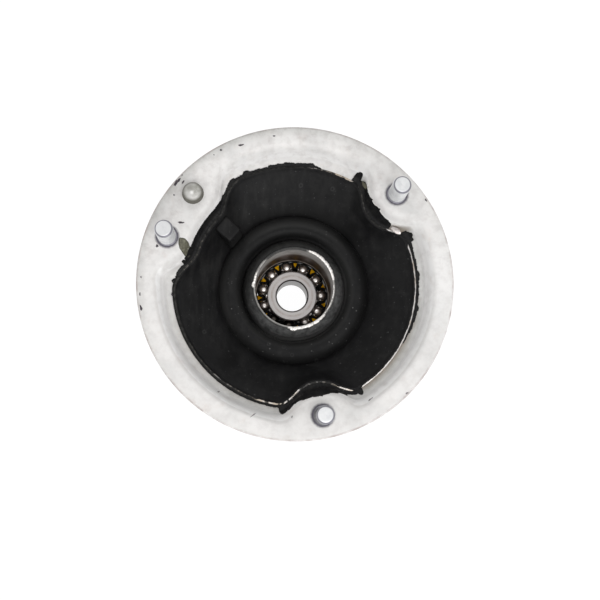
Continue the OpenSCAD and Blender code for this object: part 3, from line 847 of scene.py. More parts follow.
def cage_plastic(tree):
    """Amber nylon, black with grease and painted shade except for an amber triangle between each two balls,
    base outwards.

    A triangle's half width is half the distance past its apex, and clouds in the grease make it uneven.
    """
    grease = tree.mottle(420, 0.35, 0.75)
    amber = tree.mix(grease, (1.0, 0.52, 0.004), (0.72, 0.34, 0.004))
    turn = tree.math("SUBTRACT", tree.math("ARCTAN2", tree.y, tree.x), np.radians(BALL_ANGLE))
    period = 2 * np.pi / BALLS_PER_ROW
    cell = tree.math("FRACT", tree.math("DIVIDE", turn, period))
    off = tree.times(tree.math("SUBTRACT", cell, 0.5), period)
    across = tree.times(tree.math("ABSOLUTE", off), tree.reach)
    half = tree.times(tree.math("SUBTRACT", tree.reach, CAGE_APEX_R * MM), 0.5)
    uneven = tree.times(tree.math("SUBTRACT", grease, 0.5), 0.6 * MM)
    edge = tree.math("ADD", tree.math("SUBTRACT", across, half), uneven)
    # Black over the cage: grease and painted shade
    tree.colour = (0.006, 0.0055, 0.005)
    tree.coat(amber, tree.fade(edge, 0.12, -0.12))
    return {"Roughness": 0.45, "Specular IOR Level": 0.07}


def chip_dark(tree):
    """Dark primer bared where the paint is chipped, and paler scuffs towards -Y."""
    cloud = tree.mottle(900, 0.35, 0.7)
    tree.colour = tree.mix(cloud, (0.02, 0.014, 0.022), (0.07, 0.055, 0.065))
    scuff = tree.mix(cloud, (0.16, 0.14, 0.145), (0.34, 0.32, 0.32))
    tree.coat(scuff, tree.fade(tree.y, -30, -45))
    return {"Roughness": 0.6}


def olive_mark(tree):
    """Mottled olive-grey overspray with a darker outline."""
    tree.colour = tree.mix(tree.mottle(800, 0.38, 0.68), (0.085, 0.08, 0.055), (0.18, 0.175, 0.125))
    tree.coat((0.05, 0.047, 0.035), tree.ramp(tree.attribute("outline"), 0.7, 1.0))
    return {"Roughness": 0.6}


def bright_metal(tree):
    """Freshly torn steel."""
    tree.colour = tree.mix(tree.mottle(900, 0.35, 0.7), (0.85, 0.81, 0.79), (0.66, 0.58, 0.56))
    return {"Metallic": 0.5, "Roughness": 0.4}


PAINT = finish(flange_paint)
SHELL = finish(sheared_shell)
RUBBER = finish(moulded_rubber)
FLASH = finish(torn_flash)
CUP = finish(cup_steel)
ZINC = finish(zinc_stud)
PIN = finish(pin_paint)
PLATE = finish(plate_coat)
TURNED = finish(turned_ring)
RACE = finish(race_steel)
BALL = finish(ball_steel)
CAGE = finish(cage_plastic)
CHIP = finish(chip_dark)
OLIVE = finish(olive_mark)
BRIGHT = finish(bright_metal)


# Profile of the pressed side: radius station, height and slope from the shell's rim out to the flat face


def arc(centre, radius, turns):
    """Points of a hollow arc: centre + radius (sin t, -cos t)."""
    turns = np.radians(turns)
    return np.stack([centre[0] + radius * np.sin(turns), centre[1] - radius * np.cos(turns)], axis=-1)


FOOT_TANGENT = FOOT_R * tan((STEP_ANGLE - LEDGE_ANGLE) / 2)
STEP_TURN = np.radians(STEP_ANGLE)
FOOT_CENTRE = (LEDGE_END[0] + FOOT_TANGENT * np.cos(STEP_TURN) - FOOT_R * np.sin(STEP_TURN),
               LEDGE_END[1] + FOOT_TANGENT * np.sin(STEP_TURN) + FOOT_R * np.cos(STEP_TURN))
FOOT_TURNS = np.linspace(LEDGE_ANGLE, STEP_ANGLE, 9)
BEND_TURNS = np.linspace(STEP_ANGLE, 0, 11)
LEDGE_SHARES = column(np.linspace(0, 1, 6)[:-1])
FOOT_ARC = arc(FOOT_CENTRE, FOOT_R, FOOT_TURNS)
BEND_ARC = arc((WELL_R, -BEND_R), -BEND_R, BEND_TURNS)
LEDGE_LINE = np.array([RIM_R, RIM_Z]) + LEDGE_SHARES * (FOOT_ARC[0] - [RIM_R, RIM_Z])
SIDE = np.concatenate([LEDGE_LINE, FOOT_ARC, BEND_ARC])
SIDE_TURNS = np.concatenate([np.full(len(LEDGE_LINE), LEDGE_ANGLE), FOOT_TURNS, BEND_TURNS])
SIDE_LENGTH = np.concatenate([[0], np.cumsum(np.hypot(*np.diff(SIDE, axis=0).T))])

# Polar grid on which the sheet's softening is worked out
TABLE_STEP = 0.25
TABLE_TURNS = np.arange(0, 360, TABLE_STEP)
TABLE_RADII = np.arange(FLANGE_R - 28, FLANGE_R + 6, TABLE_STEP)


def flange_height(x, y):
    """Height of the pressed sheet's upper side: the profile's, where its lobed radius equals the point's."""
    angle = np.degrees(np.arctan2(y, x))
    radii = lobed(angle.reshape(1, -1), SIDE[:, :1]).T
    share = (np.hypot(x, y).reshape(-1, 1) - radii[:, :-1]) / np.maximum(np.diff(radii, axis=1), 1e-6)
    height = SIDE[0, 1] + (np.clip(share, 0, 1) * np.diff(SIDE[:, 1])).sum(axis=1)
    return height.reshape(x.shape)


def blurred(heights, radius):
    """A table of heights after a Gaussian blur of so many cells s: its spectrum times exp(-2 (pi s f)^2)."""
    waves = [np.fft.fftfreq(count) for count in heights.shape]
    square = waves[0][:, None] ** 2 + waves[1][None, :] ** 2
    return np.fft.ifft2(np.fft.fft2(heights) * np.exp(-2 * (np.pi * radius) ** 2 * square)).real


def drop_table():
    """How far the sheet sinks when it is blurred, on the polar grid: more at the notches' corners."""
    x, y, _ = np.moveaxis(polar(TABLE_TURNS[None, :], column(TABLE_RADII), 0.0), -1, 0)
    sheet = flange_height(x, y)
    past = past_notch(TABLE_TURNS[None, :]).min(axis=0)
    corner = np.exp(-((past - CORNER_TURN) / CORNER_SPREAD) ** 2)
    soft, softer = (blurred(sheet, radius / TABLE_STEP) for radius in (SOFT_R, SOFT_CORNER_R))
    return sheet - soft * (1 - corner) - softer * corner


DROPS = drop_table()


def soft_drop(x, y):
    """The table's value at a point, mixed from the four cells round it."""
    row = np.clip((np.hypot(x, y) - TABLE_RADII[0]) / TABLE_STEP, 0, len(TABLE_RADII) - 1.001)
    turn = np.degrees(np.arctan2(y, x)) % 360 / TABLE_STEP % len(TABLE_TURNS)
    i, j = row.astype(int), turn.astype(int)
    u, v = row - i, turn - j
    after = (j + 1) % len(TABLE_TURNS)
    inner = DROPS[i, j] * (1 - v) + DROPS[i, after] * v
    outer = DROPS[i + 1, j] * (1 - v) + DROPS[i + 1, after] * v
    return inner * (1 - u) + outer * u


def side_point(angle, length, height):
    """A point of the pressed side at a length out from the rim, raised along its normal by a height."""
    station = np.interp(length, SIDE_LENGTH, SIDE[:, 0])
    z = np.interp(length, SIDE_LENGTH, SIDE[:, 1])
    turn = np.radians(np.interp(length, SIDE_LENGTH, SIDE_TURNS))
    sheet = polar(angle, lobed(angle, station), z)
    drop = soft_drop(sheet[..., 0], sheet[..., 1]) * rise(length, SOFT_START, SOFT_FULL)
    return polar(angle, lobed(angle, station, -height * np.sin(turn)), z - drop + height * np.cos(turn))


# Pieces


def make_flange():
    """Rings round the sheet's section: the outer edge, the flat face, the pressed side, and back below."""
    angle = outline_angles(900)
    turns = np.radians(column(np.linspace(0, 90, 6)))
    edge_r = FLANGE_R - EDGE_R
    edge_top = polar(angle, edge_r + EDGE_R * np.cos(turns), EDGE_R * np.sin(turns) - EDGE_R)
    edge_under = polar(angle, edge_r + EDGE_R * np.sin(turns), EDGE_R - FLANGE_T - EDGE_R * np.cos(turns))
    shares = column(np.linspace(0, 1, 16)[1:-1])
    flat_r = edge_r * (1 - shares) + lobed(angle, WELL_R) * shares
    flat_top = polar(angle, flat_r, 0.0)
    flat_top[..., 2] -= soft_drop(flat_top[..., 0], flat_top[..., 1])
    flat_under = polar(angle, flat_r[::-1], -FLANGE_T)
    length = column(SIDE_LENGTH[::-1])
    pressed = side_point(angle, length, 0.0)
    pressed_under = side_point(angle, column(SIDE_LENGTH[UNDER_START:]), -FLANGE_T)
    wall_end = wall_station(COLLAR_END)
    collar = polar(angle, lobed(angle, wall_end), COLLAR_END)
    collar_under = polar(angle, lobed(angle, wall_end, FLANGE_T), COLLAR_END - FLANGE_T / 3)
    grid = np.concatenate([edge_top, flat_top, pressed, collar, collar_under, pressed_under, flat_under,
                           edge_under])
    soil_and_shadow, dull, wall_light = np.zeros((3, *grid.shape[:2]))
    first = len(edge_top) + len(flat_top)
    side = slice(first, first + len(length))
    by_rim = sum(strength * span_share(angle, *span) for *span, strength in SOIL_ARCS)
    # Painted brown shadow beside the bare sliver
    by_sliver = 0.85 * span_share(angle, *SLIVER_SHADOW)
    soil_and_shadow[side] = rise(length, SOIL_END, 0) * by_rim
    soil_and_shadow[side] += rise(length, SLIVER_SHADOW_END, SLIVER_SHADOW_START) * by_sliver
    # Painted shade on the ledge, strongest towards DULL_SIDE and less in a gap
    toward_dull = np.cos(np.radians(angle - DULL_SIDE))
    dull[side] = rise(length, DULL_END, DULL_END - DULL_FADE) * (0.36 + 0.24 * toward_dull)
    dull[side] *= 1 - 0.75 * span_share(angle, *DULL_GAP)
    # Painted light that makes the steep wall lighter
    wall_light[side] = 0.85 * rise(length, WALL_LIGHT_START, WALL_LIGHT_FULL) * rise(length, WALL_LIGHT_END, WALL_LIGHT_LAST)
    face_r = np.concatenate([np.full(edge_top.shape[:2], FLANGE_R), flat_r])
    # Greyer outer edge of the flat face, most towards 120 degrees, and a greyer stud pad
    dull[:first] = 0.72 * rise(face_r, FLANGE_R - DULL_EDGE_W, FLANGE_R) * ((1 - toward_dull) / 2) ** 2
    pad = rise(flat_r, DULL_PAD_START, DULL_PAD_FULL) * span_share(angle, *DULL_PAD)
    dull[len(edge_top):first] += 0.16 * pad
    return surface("flange", [grid], PAINT, node="flange_plate",
                   attributes={"soil_and_shadow": soil_and_shadow, "dull": dull, "wall_light": wall_light})


# Where the shell's rim shows: from, to, how bare it is, and from where to where across the rim
BARE_RIM = (
    (60.8, 65.5, 0.85, 0.0, 0.5), (65.5, 71, 0.5, 0.0, 0.4), (71, 84, 0.22, 0.0, 0.35),
    (84, 118, 0.03, 0.1, 0.5), (27.0, 31.8, 0.95, 0.0, 0.65), (32, 58, 0.11, 0.0, 0.5),
    (-57, 20, 0.78, 0.0, 0.36), (-67.5, -61.5, 0.9, 0.0, 0.5), (-88, -67, 0.2, 0.0, 0.5),
    (-95.6, -87, 0.42, 0.0, 0.5), (-109, -95.6, 0.6, 0.45, 0.8), (-133, -109, 0.24, 0.72, 0.95),
    (-152, -133, 0.14, 0.7, 0.95), (-184, -152, 0.07, 0.5, 1.0), (118, 150, 0.1, 0.0, 0.6),
    (150, 176, 0.15, 0.0, 0.6))


def bare_end(angle):
    """Where across the shell's rim the bare line ends: 0 at its outer edge and 1 at its inner edge."""
    ends = [(start, stop, end) for start, stop, _, _, end in BARE_RIM]
    return strongest(angle, ends, BARE_END_SOFT) * (1 + ripple(angle, 17, (23, 61, 149), (0.1, 0.1, 0.08)))


def make_shell():
    """Rings round the shell's section: a rounded rim, the inner wall, the holed floor, the outer wall."""
    angle = outline_angles(900)
    turns = np.radians(column(np.linspace(0, 180, 9)))
    across = SHELL_OFFSET / 2 * (1 - np.cos(turns))
    bead = polar(angle, lobed(angle, RIM_R, across), RIM_Z + BEAD_H * np.sin(turns))
    depths = column(np.linspace(RIM_Z - 2, FLOOR_Z + 6, 6))
    inner = polar(angle, lobed(angle, wall_station(depths), SHELL_OFFSET), depths)
    outer = polar(angle, lobed(angle, wall_station(depths)), depths)
    corner_r = wall_station(FLOOR_Z) - FLOOR_ROUND * tan(WALL_ANGLE / 2)
    floor_turns = np.radians(column(np.linspace(WALL_ANGLE, 0, 6)))

    def floor_corner(inset):
        """Arc from the wall to the floor: centre + (round - inset) (sin t, -cos t)."""
        station = corner_r + FLOOR_ROUND * np.sin(floor_turns)
        z = FLOOR_Z + FLOOR_ROUND - (FLOOR_ROUND - inset) * np.cos(floor_turns)
        return polar(angle, lobed(angle, station, -inset * np.sin(floor_turns)), z)

    hole = revolve(angle, [(FLOOR_HOLE_R, FLOOR_Z + SHELL_T), (FLOOR_HOLE_R, FLOOR_Z)])
    grid = np.concatenate([bead, inner, floor_corner(SHELL_T), hole, floor_corner(0.0)[::-1], outer[::-1]])
    bare = np.zeros(grid.shape[:2])
    place = across / SHELL_OFFSET
    spans = [share * span_share(angle, start, stop, BARE_SOFT) * rise(place, begin - BARE_EDGE, begin)
             for start, stop, share, begin, _ in BARE_RIM]
    bare[:len(bead)] = np.max(spans, axis=0)
    return surface("shell", [grid], SHELL, node="outer_shell", attributes={"bare": bare})


def roll_side(foot, count):
    """One side of the bulge, from its foot to its level crest: z goes with sin(90 s) to a power."""
    share = np.linspace(0, 1, count)
    return np.stack([foot[0] + (BULGE_R - foot[0]) * share,
                     foot[1] + (BULGE_Z - foot[1]) * np.sin(np.pi / 2 * share) ** ROLL_POWER], axis=-1)


def make_rubber():
    """Rings from the lip at the shell's rim down the slope, over the bulge to the neck, and back below."""
    angle = outline_angles(720)
    line = 0.95 * bare_end(angle)
    across = line + (1 - line) * column(LIP_SHARES)
    lip = polar(angle, lobed(angle, RIM_R, across * SHELL_OFFSET - LIP_GAP), RIM_Z + column(LIP_RISE))
    share = column(np.linspace(0.985, 0, 26))
    slope_r = SLOPE_END_R + (RIM_R + SHELL_OFFSET - SLOPE_END_R) * share
    end_notch = STUD_R - SLOPE_END_R - SLOPE_NOTCH_GAP
    slope_notch = end_notch + (NOTCH_R - SHELL_OFFSET - end_notch) * share
    slope_z = VALLEY_Z + (RIM_Z - VALLEY_Z) * share ** SLOPE_POWER
    slope = polar(angle, rounded_min(slope_r, notch_side(angle, STUD_R, slope_notch, 1.0)), slope_z)
    turns = np.radians(np.linspace(90, 0, 12))
    collar = zip(NECK_R + COLLAR_T * np.sin(turns), COLLAR_TOP - COLLAR_H * (1 - np.cos(turns)))
    core = revolve(angle, [
        *roll_side((VALLEY_R, VALLEY_Z), 16), *roll_side((GROOVE_R, GROOVE_Z), 16)[-2::-1],
        GROOVE_SIDE, *collar, *CUP_SHOULDER, (CUP_R, PLATE_TOP), (PAD_BOTTOM_R, PLATE_TOP)])
    pad_share = column(np.linspace(0.1, 1, 9))
    pad_r = PAD_BOTTOM_R + (PAD_TOP_R - PAD_BOTTOM_R) * pad_share - PAD_WAIST * np.sin(np.pi * pad_share)
    pad = polar(angle, pad_r, PLATE_TOP + (FLOOR_Z - PLATE_TOP) * pad_share)
    inside = revolve(angle, [(FLOOR_HOLE_R, FLOOR_Z), (FLOOR_HOLE_R, FLOOR_Z + SHELL_T)])
    depths = column([FLOOR_Z + 5, FLOOR_Z + 14, RIM_Z - 4])
    wall = polar(angle, lobed(angle, wall_station(depths), SHELL_OFFSET), depths)
    grid = np.concatenate([lip, slope, core, pad, inside, wall])
    return surface("rubber", [grid], RUBBER, node="rubber_body")


def make_tab():
    """Block that points at the pin: superellipse rings go up its sides, round its top and close on it."""
    turn = np.radians(np.linspace(0, 360, 96, endpoint=False))
    waves = np.stack([np.cos(turn), np.sin(turn)])
    plan_x, plan_y = np.sign(waves) * np.abs(waves) ** (2 / TAB_POWER)
    edge = np.radians(np.linspace(0, 90, 7))
    side_top = TAB_Z - TAB_ROUND
    inset = column([*np.linspace(-TAB_FLARE, 0, 5), *TAB_ROUND * (1 - np.cos(edge)), 2.2, 3.0, TAB_W / 2])
    height = column([*np.linspace(VALLEY_Z + 0.5, side_top, 5), *side_top + TAB_ROUND * np.sin(edge),
                     TAB_Z, TAB_Z, TAB_Z])
    outer_end = STUD_R - NOTCH_R + SHELL_OFFSET - TAB_END_GAP
    along = outer_end - TAB_L / 2 + (TAB_L / 2 - inset * TAB_L / TAB_W) * plan_x
    across = (TAB_W / 2 - inset) * plan_y
    height = height + TAB_LEAN * (rise(along, outer_end - TAB_L, outer_end) - 1) * (height > TAB_Z - 4)
    way = np.radians(PIN_ANGLE)
    grid = np.stack([along * np.cos(way) - across * np.sin(way), along * np.sin(way) + across * np.cos(way),
                     height], axis=-1)
    centre = np.broadcast_to(grid[:1].mean(axis=1, keepdims=True), grid[:1].shape)
    grid = np.concatenate([centre, grid])
    return surface("pointer_tab", [grid], RUBBER, node="rubber_body", wrap_rows=False,
                   weld=True)


# Flash past the rim: bands (from, to, reach at each end) and lumps (angle, half width, reach)
FLASH_ARCS = (
    (77.0, 303.0,
     ((77.2, 82, 0.3, 1.4), (81.4, 103, 1.4, 1.3), (103, 117, 0.8, 1.2), (116, 128, 0.9, 1.1),
      (127, 138.2, 1.0, 6.4), (137, 150, 6.2, 6.8), (149, 158, 6.6, 7.2), (157, 168, 7.2, 6.6),
      (169.6, 177, 2.2, 0.3), (176, 222, 0.05, 0.15), (220, 263, 0.2, 0.7), (266.9, 270.4, 9.4, 10.8),
      (269.4, 274.4, 11.4, 14.4), (273.4, 283.4, 14.2, 15.7), (282.4, 291.4, 15.6, 12.4),
      (290.4, 295.5, 12.6, 1.6), (295, 302.7, 1.5, 1.3)),
     ((83, 3.0, 1.8), (94, 2.5, 1.8), (113.5, 2.6, 2.0), (121.5, 2.4, 1.6), (178.4, 1.2, 0.8),
      (163.3, 3.2, 9.8), (169, 0.9, 6.9), (265.3, 2.8, 4.0), (301.2, 1.6, 2.7))),
    (31.2, 62.2,
     ((31.4, 34.7, 2.0, 8.8), (33.8, 38.4, 8.8, 10.3), (37.5, 41.6, 10.2, 12.4), (40.7, 44.9, 13.6, 11.8),
      (44.0, 48.0, 11.8, 11.4), (47.1, 51.8, 13.4, 8.8), (50.9, 54.0, 8.8, 4.4), (53.1, 58.4, 4.2, 1.8),
      (56, 62, 1.6, 0.9)),
     ((59.6, 1.6, 6.6), (60.9, 1.0, 4.4))),
    (-28.8, 26.9,
     ((-28.6, -22, 0.35, 0.6), (-23, -11, 1.0, 1.6), (-11, 17, 1.2, 1.1), (16, 21.4, 1.1, 2.0),
      (20.6, 26.8, 2.9, 2.3)),
     ((-11.2, 2.0, 1.9), (4.5, 3.0, 1.8), (23.6, 1.9, 3.4))))


def flash_reach(angle, bands, knobs):
    """How far the flash reaches past the rim: the farthest of its bands and lumps, with a ragged edge."""
    layers = [np.full_like(angle, 0.02), *lumps(angle, knobs)]
    for start, end, first, last in bands:
        reach = first + (last - first) * rise(angle, start, end)
        layers.append(reach * span_share(angle, start, end, BAND_SOFT))
    reach = np.max(layers, axis=0)
    ragged = ripple(angle, 11, (67, 113, 197, 331, 523), (0.09, 0.09, 0.07, 0.06, 0.04))
    return reach + ragged * np.minimum(1, reach)


def make_flash():
    """Thin torn rubber past the shell's rim: closed sections along each arc, laid on the pressed side."""
    share = column(np.linspace(0, 1, 15))
    grids = []
    for start, end, bands, knobs in FLASH_ARCS:
        angle = np.linspace(start, end, int((end - start) / FLASH_STEP))
        ends = rise(np.minimum(angle - start, end - angle), 0, ARC_SOFT)
        length = share * flash_reach(angle, bands, knobs) * ends
        uneven = 1 + ripple(angle, 5, (41, 97, 211), (0.2, 0.15, 0.1))
        thick = FLASH_T * ends * np.sqrt(1 - 0.9 * share ** 3) * uneven
        upper = side_point(angle[None, :], length, thick)
        lower = side_point(angle[None, :], length, -FLASH_SUNK)
        grids.append(np.concatenate([upper, lower[::-1]]).transpose(1, 0, 2))
    return surface("flash", grids, FLASH, node="rubber_body", wrap_rows=False)


# Where the neck's rim is torn bare: from, to, and how bare its inner and outer edges are
NECK_TORN = (
    (138, 158, 0.2, 0.2), (158, 180, 0.5, 0.75), (11, 68, 0.6, 0.85), (-41, 11, 0.5, 0.1),
    (-99, -41, 0.3, 0.8), (68, 138, 0.25, 0.0), (-178, -99, 0.2, 0.0))
NECK_COVERED = (70, 136, 6)
# Burrs on it: angle, half width and reach
NECK_BURR = ((163, 20, 0.1), (176, 5, 0.45), (39, 27, 0.45), (-90, 7, 0.7), (-70, 30, 0.4))


def make_cup():
    """Rings round the cup's section, whose neck rim is torn: burrs push its edge out and roughen its top."""
    angle = np.linspace(0, 360, 720, endpoint=False)[None, :]
    uneven = 1 + ripple(angle, 3, (31, 73, 127, 211), (0.18, 0.15, 0.12, 0.1))
    burr = np.max(lumps(angle, NECK_BURR), axis=0) * uneven
    top = NECK_Z + ripple(angle, 7, (19, 43, 89, 173), (0.05, 0.05, 0.05, 0.04))
    rim = np.concatenate([polar(angle, radius, top - drop) for radius, drop in (
        (NECK_BORE, 0.6), (NECK_BORE + 0.15, 0.1), (NECK_BORE + 0.5, 0.0), (NECK_R - 0.2 + 0.6 * burr, 0.02),
        (NECK_R + burr, 0.3), (NECK_R + 0.5 * burr, 0.7), (NECK_R, 1.2))])
    bore = ((NECK_BORE, z) for z in np.linspace(SEAT_TOP + 1, NECK_Z - 1.2, 10))
    below = revolve(angle, [
        *CUP_SHOULDER, (CUP_R, SEAT_FOOT), (CUP_R - 0.4, CUP_FOOT + 0.4), (CUP_R - CUP_WALL, CUP_FOOT),
        (SEAT_R - LIP_W, CUP_FOOT), (SEAT_R - LIP_W, SEAT_FOOT), (SEAT_R, SEAT_FOOT), (SEAT_R, SEAT_TOP),
        (NECK_BORE, SEAT_TOP), *bore])
    grid = np.concatenate([rim, below])
    inner = strongest(angle, [(start, end, share) for start, end, share, _ in NECK_TORN], BARE_SOFT)
    outer = strongest(angle, [(start, end, share) for start, end, _, share in NECK_TORN], BARE_SOFT)
    bare, skin = np.zeros((2, *grid.shape[:2]))
    bare[:6] = np.concatenate([0.5 * inner, inner, np.maximum(inner, outer), outer, outer, outer])
    skin[2:len(rim)] = (1 - rise(outer, 0, 0.35)) * column([0.4, 1, 1, 1, 1])
    covered = span_share(angle, *NECK_COVERED)
    skin[:3] = np.maximum(skin[:3], covered)
    skin[-1] = 0.6 * covered
    return surface("bearing_cup_drawn", [grid], CUP, node="bearing_cup",
                   attributes={"bare": bare, "skin": skin})


def make_studs():
    """Revolved studs whose thread is a helix: the radius falls by a rounded wave of z / pitch - a / 360."""
    turn = np.linspace(0, 360, 72, endpoint=False)[None, :]
    radius = STUD_D / 2
    tip_r = radius - STUD_CHAMFER
    head = ((0, STUD_FOOT), (HEAD_R - 0.8, STUD_FOOT), (HEAD_R - 0.2, STUD_FOOT + 0.2),
            (HEAD_R, STUD_FOOT + 0.7), (HEAD_R, -FLANGE_T), (SHANK_R, -FLANGE_T), (SHANK_R, -0.05),
            (radius + 0.25, 0.02), (radius - 0.25, 0.3))
    cap = ((tip_r - 0.05, STUD_TOP - 0.03), (tip_r - 0.4, STUD_TOP), (1.5, STUD_TOP), (0, STUD_TOP))
    z = column(np.arange(0.5, STUD_TOP - 0.05, 0.11))
    wave = (1 - np.cos(2 * np.pi * (z / THREAD_PITCH - turn / 360))) / 2
    depth = rise(z, 0.8, 2.0) * wave ** 1.5
    thread = polar(turn, np.minimum(radius - THREAD_DEPTH * depth, tip_r + (STUD_TOP - z)), z)
    shape = np.concatenate([revolve(turn, head), thread, revolve(turn, cap)])
    grids = [shape + polar(angle, STUD_R, 0.0) for angle in STUD_ANGLES]
    root, side_shade, duller = np.zeros((3, len(grids), *shape.shape[:2]))
    root[:, len(head):-len(cap)] = depth
    # Painted shade on one side of the last stud
    side_shade[-1] = span_share(turn, *SHADED_SIDE)
    duller += layered(STUD_TOP_DULL)
    return surface("threaded_studs", grids, ZINC, node="studs", wrap_rows=False,
                   weld=True, attributes={"side_shade": side_shade, "duller": duller, "root": root})


def make_pin():
    """Revolved pin: a foot under the flange, a shank, and a dome that is a quarter of an ellipse."""
    turn = np.linspace(0, 360, 96, endpoint=False)[None, :]
    lifts = np.radians(np.linspace(0, 90, 16))
    dome = zip(PIN_R * np.cos(lifts), PIN_TOP - DOME_H + DOME_H * np.sin(lifts))
    shape = revolve(turn, [
        (0, PIN_FOOT), (PIN_FOOT_R - 0.3, PIN_FOOT), (PIN_FOOT_R, PIN_FOOT + 0.3), (PIN_FOOT_R, -FLANGE_T),
        (PIN_SHANK_R, -FLANGE_T), (PIN_SHANK_R, 0), (PIN_R + 0.15, 0.02), (PIN_R, 0.25),
        *dome])
    return surface("locating_pin_domed", [shape + polar(PIN_ANGLE, STUD_R, 0.0)], PIN, node="locating_pin",
                   wrap_rows=False, weld=True)


# Marks on the paint: place, half length, half width and the angle of the long side
PAINT_CHIPS = (
    (-52.9, 43.9, 1.9, 0.75, 52), (-50.2, 43.9, 1.1, 0.3, 55), (-24.7, 61.2, 1.1, 0.45, 15),
    (-33.6, 58.8, 0.55, 0.4, 30), (-36.7, 56.5, 0.3, 0.2, 0), (-9.9, 65.6, 0.5, 0.35, 0),
    (-50.8, 25.6, 1.3, 0.45, 2), (-61.1, 15.0, 0.7, 0.5, 120), (-50.7, 47.1, 0.35, 0.25, 40),
    (-67.8, 1.1, 0.45, 0.25, 90), (-68.1, -6.4, 0.7, 0.3, 90), (-67.5, -12.5, 1.4, 0.42, 100),
    (-18.5, -58.7, 1.3, 0.22, 35), (-1.7, -59.5, 0.5, 0.3, 90), (-33.7, -48.4, 0.45, 0.35, 0),
    (32.6, -51.8, 1.2, 0.25, 40), (48.4, -49.2, 0.6, 0.45, 20), (58.2, 36.9, 0.8, 0.3, 120),
    (-54.1, 38.0, 0.4, 0.3, 0), (-55.2, -4.9, 0.8, 0.3, 110))
OLIVE_SPOTS = ((-49.3, 15.3, 3.7, 2.4, 113), (31.6, 45.6, 2.3, 0.6, -66))
BARE_SLIVERS = ((46.1, 25.0, 2.5, 0.95, -27),)
# How far a mark stands proud, more so the lower it lies, and how deep it is sunk
MARK_T = 0.07
MARK_T_GROWTH = 0.02
MARK_SUNK = 0.08


def make_marks(name, marks, material, seed, ragged, proud=0.0):
    """Flat ragged lenses on the paint: rings of a wavy ellipse, laid on the flange and closed below it."""
    turn = np.linspace(0, 360, 40, endpoint=False)[None, :]
    share = column([*np.linspace(0, 0.96, 9), 1.0])
    outline = np.concatenate([share, share[::-1]]) + 0 * turn
    grids = []
    for number, (x, y, half_l, half_w, way) in enumerate(marks):
        wave = 1 + ragged * ripple(turn, seed + number, (2, 3, 5, 8, 13), (0.16, 0.14, 0.1, 0.08, 0.05))
        along = share * half_l * wave * np.cos(np.radians(turn))
        across = share * half_w * wave * np.sin(np.radians(turn))
        c, s = np.cos(np.radians(way)), np.sin(np.radians(way))
        px, py = x + along * c - across * s, y + along * s + across * c
        base = flange_height(px, py) - soft_drop(px, py)
        lift = column([1.0] * 9 + [-0.5]) * (MARK_T - MARK_T_GROWTH * base + proud)
        top = np.stack([px, py, base + lift], axis=-1)
        under = np.stack([px, py, base - MARK_SUNK], axis=-1)
        grids.append(np.concatenate([top, under[::-1]]))
    return surface(name, grids, material, wrap_rows=False, weld=True,
                   attributes={"outline": np.stack([outline] * len(marks))})


def dress(node, material):
    """Gives a CAD node its finish."""
    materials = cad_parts[node].data.materials
    materials.clear()
    materials.append(material)


# Studio


def make_camera():
    """Camera at the photograph's viewing angle: its matrix from the eye, the target and +Y upwards."""
    eye = Vector(CAMERA_EYE) * MM
    forward = (Vector(CAMERA_TARGET) * MM - eye).normalized()
    right = forward.cross(Vector((0, 1, 0))).normalized()
    up = right.cross(forward)
    data = bpy.data.cameras.new("camera")
    data.sensor_width = SENSOR_W
    data.lens = LENS
    data.clip_start = 10 * MM
    camera = put_in_scene("camera", data)
    camera.matrix_world = Matrix((right, up, -forward)).transposed().to_4x4()
    camera.location = eye
    bpy.context.scene.camera = camera


def seen(tree):
    """1 for rays from the camera, and for reflected and refracted ones."""
    path = tree.add("LightPath").outputs
    direct = tree.math("MAXIMUM", path["Is Camera Ray"], path["Is Glossy Ray"])
    return tree.math("MAXIMUM", direct, path["Is Transmission Ray"])


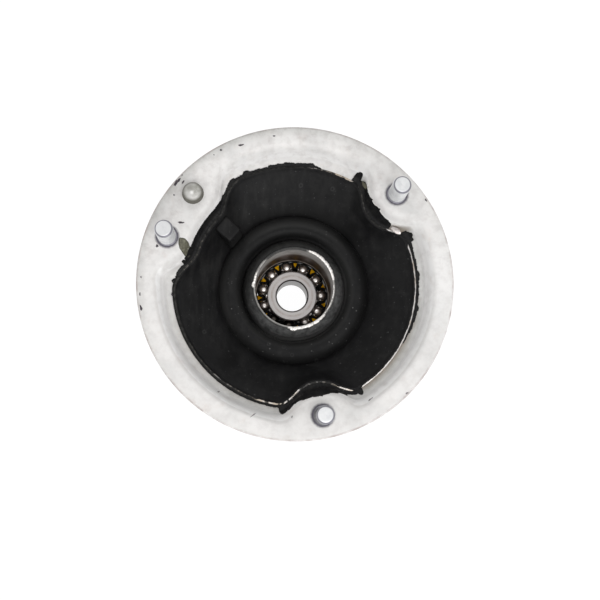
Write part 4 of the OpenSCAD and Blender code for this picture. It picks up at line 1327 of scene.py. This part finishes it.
def make_floor():
    """White floor that glows for seen rays and still takes most of a soft shadow."""
    material = bpy.data.materials.new("white_floor")
    material.use_nodes = True
    tree = Tree(material.node_tree)
    shader = material.node_tree.nodes["Principled BSDF"]
    tree.put(shader.inputs["Base Color"], grey(0.9))
    tree.put(shader.inputs["Roughness"], 0.9)
    glow = tree.add("Emission", {"Color": grey(1.0), "Strength": FLOOR_GLOW})
    share = tree.times(seen(tree), GLOW_SHARE)
    mixed = tree.add("MixShader", {0: share, 1: shader.outputs[0], 2: glow.outputs[0]})
    tree.put(material.node_tree.nodes["Material Output"].inputs["Surface"], mixed.outputs[0])
    mesh = bpy.data.meshes.new("floor")
    corners = [(-1, -1), (1, -1), (1, 1), (-1, 1)]
    points = [(x * FLOOR_HALF * MM, y * FLOOR_HALF * MM, REST_Z * MM) for x, y in corners]
    mesh.from_pydata(points, [], [(0, 1, 2, 3)])
    mesh.materials.append(material)
    floor = put_in_scene("floor", mesh)


def make_light():
    """A soft lamp low in front, a little to the right, a weaker one behind, and a pale world all round."""
    for name, place, size, power in LAMPS:
        data = bpy.data.lights.new(name, "AREA")
        data.shape = "DISK"
        data.size = size * MM
        data.energy = power
        lamp = put_in_scene(name, data)
        lamp.location = Vector(place) * MM
        lamp.rotation_euler = (-Vector(place)).to_track_quat("-Z", "Y").to_euler()
    world = bpy.data.worlds.new("studio")
    bpy.context.scene.world = world
    world.use_nodes = True
    tree = Tree(world.node_tree)
    background = world.node_tree.nodes["Background"]
    tree.put(background.inputs["Color"], grey(1.0))
    upward = tree.add("SeparateXYZ", {0: tree.add("TexCoord").outputs["Generated"]}).outputs[2]
    glow = tree.ramp(upward, 0.0, 1.0, HORIZON_LIGHT, ZENITH_LIGHT)
    both = tree.add("Mix", {0: seen(tree), 2: glow, 3: 1.0}, data_type="FLOAT")
    tree.put(background.inputs["Strength"], both.outputs[0])


make_camera()
make_light()
make_floor()
make_flange()
make_shell()
make_rubber()
make_tab()
make_flash()
make_cup()
make_studs()
make_pin()
make_marks("paint_chips", PAINT_CHIPS, CHIP, 20, 1.0)
make_marks("olive_spot", OLIVE_SPOTS, OLIVE, 60, 0.3)
make_marks("bare_sliver", BARE_SLIVERS, BRIGHT, 70, 0.4, proud=0.4)
dress("support_plate", PLATE)
dress("outer_ring", RACE)
dress("inner_ring", TURNED)
dress("ball_cage", CAGE)
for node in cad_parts:
    if "_ball_" in node:
        dress(node, BALL)

bpy.context.scene.view_settings.view_transform = "Standard"
